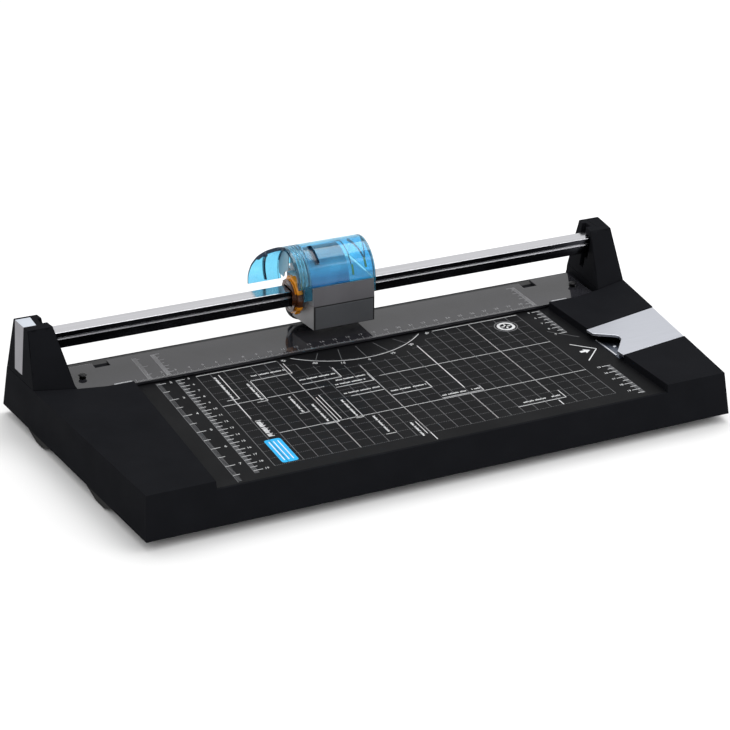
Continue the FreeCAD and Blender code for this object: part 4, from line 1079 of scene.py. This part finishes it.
def add_wave_washer(bm, centre, inner, outer, low, high, steps=60, thick=0.2):
    """A flat ring that rises and falls three times on its way round."""
    rings = []
    for step in range(steps):
        a = 2 * math.pi * step / steps
        lift = (high - low - thick) * (0.5 + 0.5 * math.cos(3 * a))
        ring = []
        for r, z in ((inner, low), (outer, low), (outer, low + thick),
                     (inner, low + thick)):
            point = centre + Vector((r * math.cos(a), r * math.sin(a), z + lift))
            ring.append(bm.verts.new(point * MM))
        rings.append(ring)
    for step in range(steps):
        one, two = rings[step], rings[(step + 1) % steps]
        for k in range(4):
            bm.faces.new((one[k], two[k], two[(k + 1) % 4], one[(k + 1) % 4]))


def build_head_trim():
    """The darker lower panel on the front, in the dark joint that frames it."""
    low, high = box_mm("head_housing")
    front, bottom, half = low[1], low[2], high[0]
    for name, finish, margin, sink, stand, foot, top, width, segments in (
            ("head_front_panel", PANEL, 1.3, 0.4, 0.3, 0.5, 56.9, 0.22, 3),
            ("head_panel_joint", GUARD, 0.25, 0.2, 0.12, 0.2, 57.9, 0.1, 2)):
        bm = bmesh.new()
        add_box(bm, (margin - half, front - stand, bottom + foot),
                (half - margin, front + sink, top))
        soften(place(bm, name, "head_housing", finish), width, segments)


def build_die_trim():
    """The die's bright lip beside the mat, and its two small guide studs."""
    low, high = box_mm("rounder_die")
    left, level = low[0], high[2]
    bm = bmesh.new()
    add_box(bm, (left + 0.3, -40.5, level), (left + 1.5, -12.5, level + 0.35))
    for x, y in ((168.6, -27.4), (171.5, -35.6)):
        turned(bm, disc_profile(1.3, level - 0.1, level + 0.5), (x, y, 0), "z", 24)
    soften(place(bm, "die_lip", "rounder_die", LIP), 0.12)


# ---------------- build all
def housing_face(face):
    """Painted light: faces turned to -X get a lighter grey, as if lit from the left, and the
    top deck under the hood gets a pale painted light.
    """
    if face.normal.z > FACING and face.center.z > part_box("head_housing")[1][2] - MM:
        return 2
    return 1 if face.normal.x < -FACING else 0


def facing_up(face):
    return 1 if face.normal.z > FACING else 0


def rail_face(face):
    """The rail's front is painted black as a dark reflection, and the foot of each groove
    gets a grey painted reflection line.
    """
    low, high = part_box("guide_rail")
    inset = min(face.center.y - low[1], high[1] - face.center.y)
    if abs(face.normal.y) > FACING and inset > 0.3 * MM:
        return 2
    return 1 if face.normal.y < -FACING else 0


def away_from_middle(face):
    """The parts of the dial and its clip that stand clear of the dial's middle height; the
    middle gets the dark brown painted shade.
    """
    middle = sum(limit[2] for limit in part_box("selector_dial")) / 2
    return 1 if abs(face.center.z - middle) > 5 * MM else 0


dress("base_shell", CASING, width=0.7, segments=3, clamp=True)
for tower in ("left_tower", "right_tower"):
    dress(tower, CASING, width=0.45, segments=3)
# the cap's upward faces get the painted light of its second finish
dress("left_tower_cap", CAP, CAP_TOP_LIT, width=0.3, pick=facing_up)
dress("right_tower_cap", CASING, width=0.3)
dress("bottom_plate", UNDERSIDE, flat=True)
dress("grid_mat", MAT, width=0.15, flat=True)
dress("cutting_strip", STRIP, width=0.15, flat=True)
for foot in ("foot_front_left", "foot_front_right", "foot_rear_left", "foot_rear_right"):
    dress(foot, RUBBER, width=0.8, segments=3)
dress("guide_rail", CHROME, RAIL_SHADE, RAIL_GROOVE_GLINT, width=0.35, segments=3, pick=rail_face)
for block in ("left_end_block", "right_end_block"):
    dress(block, CASING_SMOOTH)
dress("clamp_strip", SMOKE, width=0.25, flat=True)
dress("clamp_tabs", STEEL, width=0.15, flat=True)
# the head's second and third finishes are painted light, on its left-facing faces and on its
# top deck
dress("head_housing", HOUSING, HOUSING_LIT_SIDE, DECK_PAINTED_LIGHT, width=0.5, segments=3,
      pick=housing_face)
# painted shade: the left bush and the dial clip's middle get the dark brown that stands for
# shade and dark reflection
dress("left_rail_bush", AMBER_SHADE, width=0.25)
dress("right_rail_bush", BUSH, width=0.25)
dress("dial_clip", AMBER_SHADE, AMBER, width=0.2, pick=away_from_middle)
dress("cover_hinge_pin", STEEL, width=0.2)
dress("blade_axle", STEEL, width=0.25)
dress("blade_guard", GUARD, width=0.2)
dress("blade_hub", GUARD, width=0.25)
# the drum's colour is painted light and shade, graded by height
dress("magazine_lid", LID_PAINTED_LIGHT, width=0.3)
dress("rounder_lever", PLATE, width=0.3, flat=True)
dress("rounder_punch", DIE, width=0.15, flat=True)
dress("rounder_die", DIE, LIP, width=0.2, flat=True)
dress("rounder_pin", STEEL, width=0.2)
print_mat()
print_clamp()
build_hood()
build_dial()
build_magazine()
build_spare("spare_wavy_blade", 24, 1.0)
build_spare("spare_perforating_blade", 36, 0.7)
build_blade()
build_screws()
build_springs()
build_head_trim()
build_die_trim()

# ---------------- stage
FLOOR = Surface("pale_floor", (0.86, 0.86, 0.86), 0.9, specular=0.1)
FLOOR.mottle(FLOOR.noise(4), 0.01)
bpy.ops.mesh.primitive_plane_add(size=12.0, location=(0, 0, -0.0002))
floor = bpy.context.object
floor.name = "floor"
floor.data.materials.append(FLOOR.material)

world = bpy.data.worlds.new("studio")
world.use_nodes = True
world.node_tree.nodes["Background"].inputs["Color"].default_value = (1, 1, 1, 1)
world.node_tree.nodes["Background"].inputs["Strength"].default_value = 0.85
bpy.context.scene.world = world


def softbox(name, where, target, size, power):
    data = bpy.data.lights.new(name, "AREA")
    data.shape = "RECTANGLE"
    data.size, data.size_y = size
    data.energy = power
    lamp = bpy.data.objects.new(name, data)
    bpy.context.collection.objects.link(lamp)
    lamp.location = where
    aim = Vector(target) - Vector(where)
    lamp.rotation_euler = aim.to_track_quat("-Z", "Y").to_euler()


softbox("key", (0.35, 0.5, 1.5), (0, 0, 0), (1.4, 1.0), 15)
softbox("fill", (1.3, -0.9, 1.1), (0, 0, 0), (1.2, 1.2), 7)

AZIMUTH, ELEVATION, ROLL = map(math.radians, (-25.15, 25.76, 0.428))
CAMERA_PLACE = (-0.5564, -1.1555, 0.6555)
camera_data = bpy.data.cameras.new("camera")
camera_data.sensor_width = 36.0
camera_data.lens = 102.2
camera_data.clip_end = 20
camera = bpy.data.objects.new("camera", camera_data)
bpy.context.collection.objects.link(camera)
back = Vector((math.sin(AZIMUTH) * math.cos(ELEVATION),
               -math.cos(AZIMUTH) * math.cos(ELEVATION), math.sin(ELEVATION)))
side = Vector((0, 0, 1)).cross(back).normalized()
up = back.cross(side)
right = side * math.cos(ROLL) + up * math.sin(ROLL)
top = up * math.cos(ROLL) - side * math.sin(ROLL)
turn = Matrix((right, top, back)).transposed()
camera.matrix_world = Matrix.Translation(CAMERA_PLACE) @ turn.to_4x4()
bpy.context.scene.camera = camera
bpy.context.scene.view_settings.view_transform = "Standard"
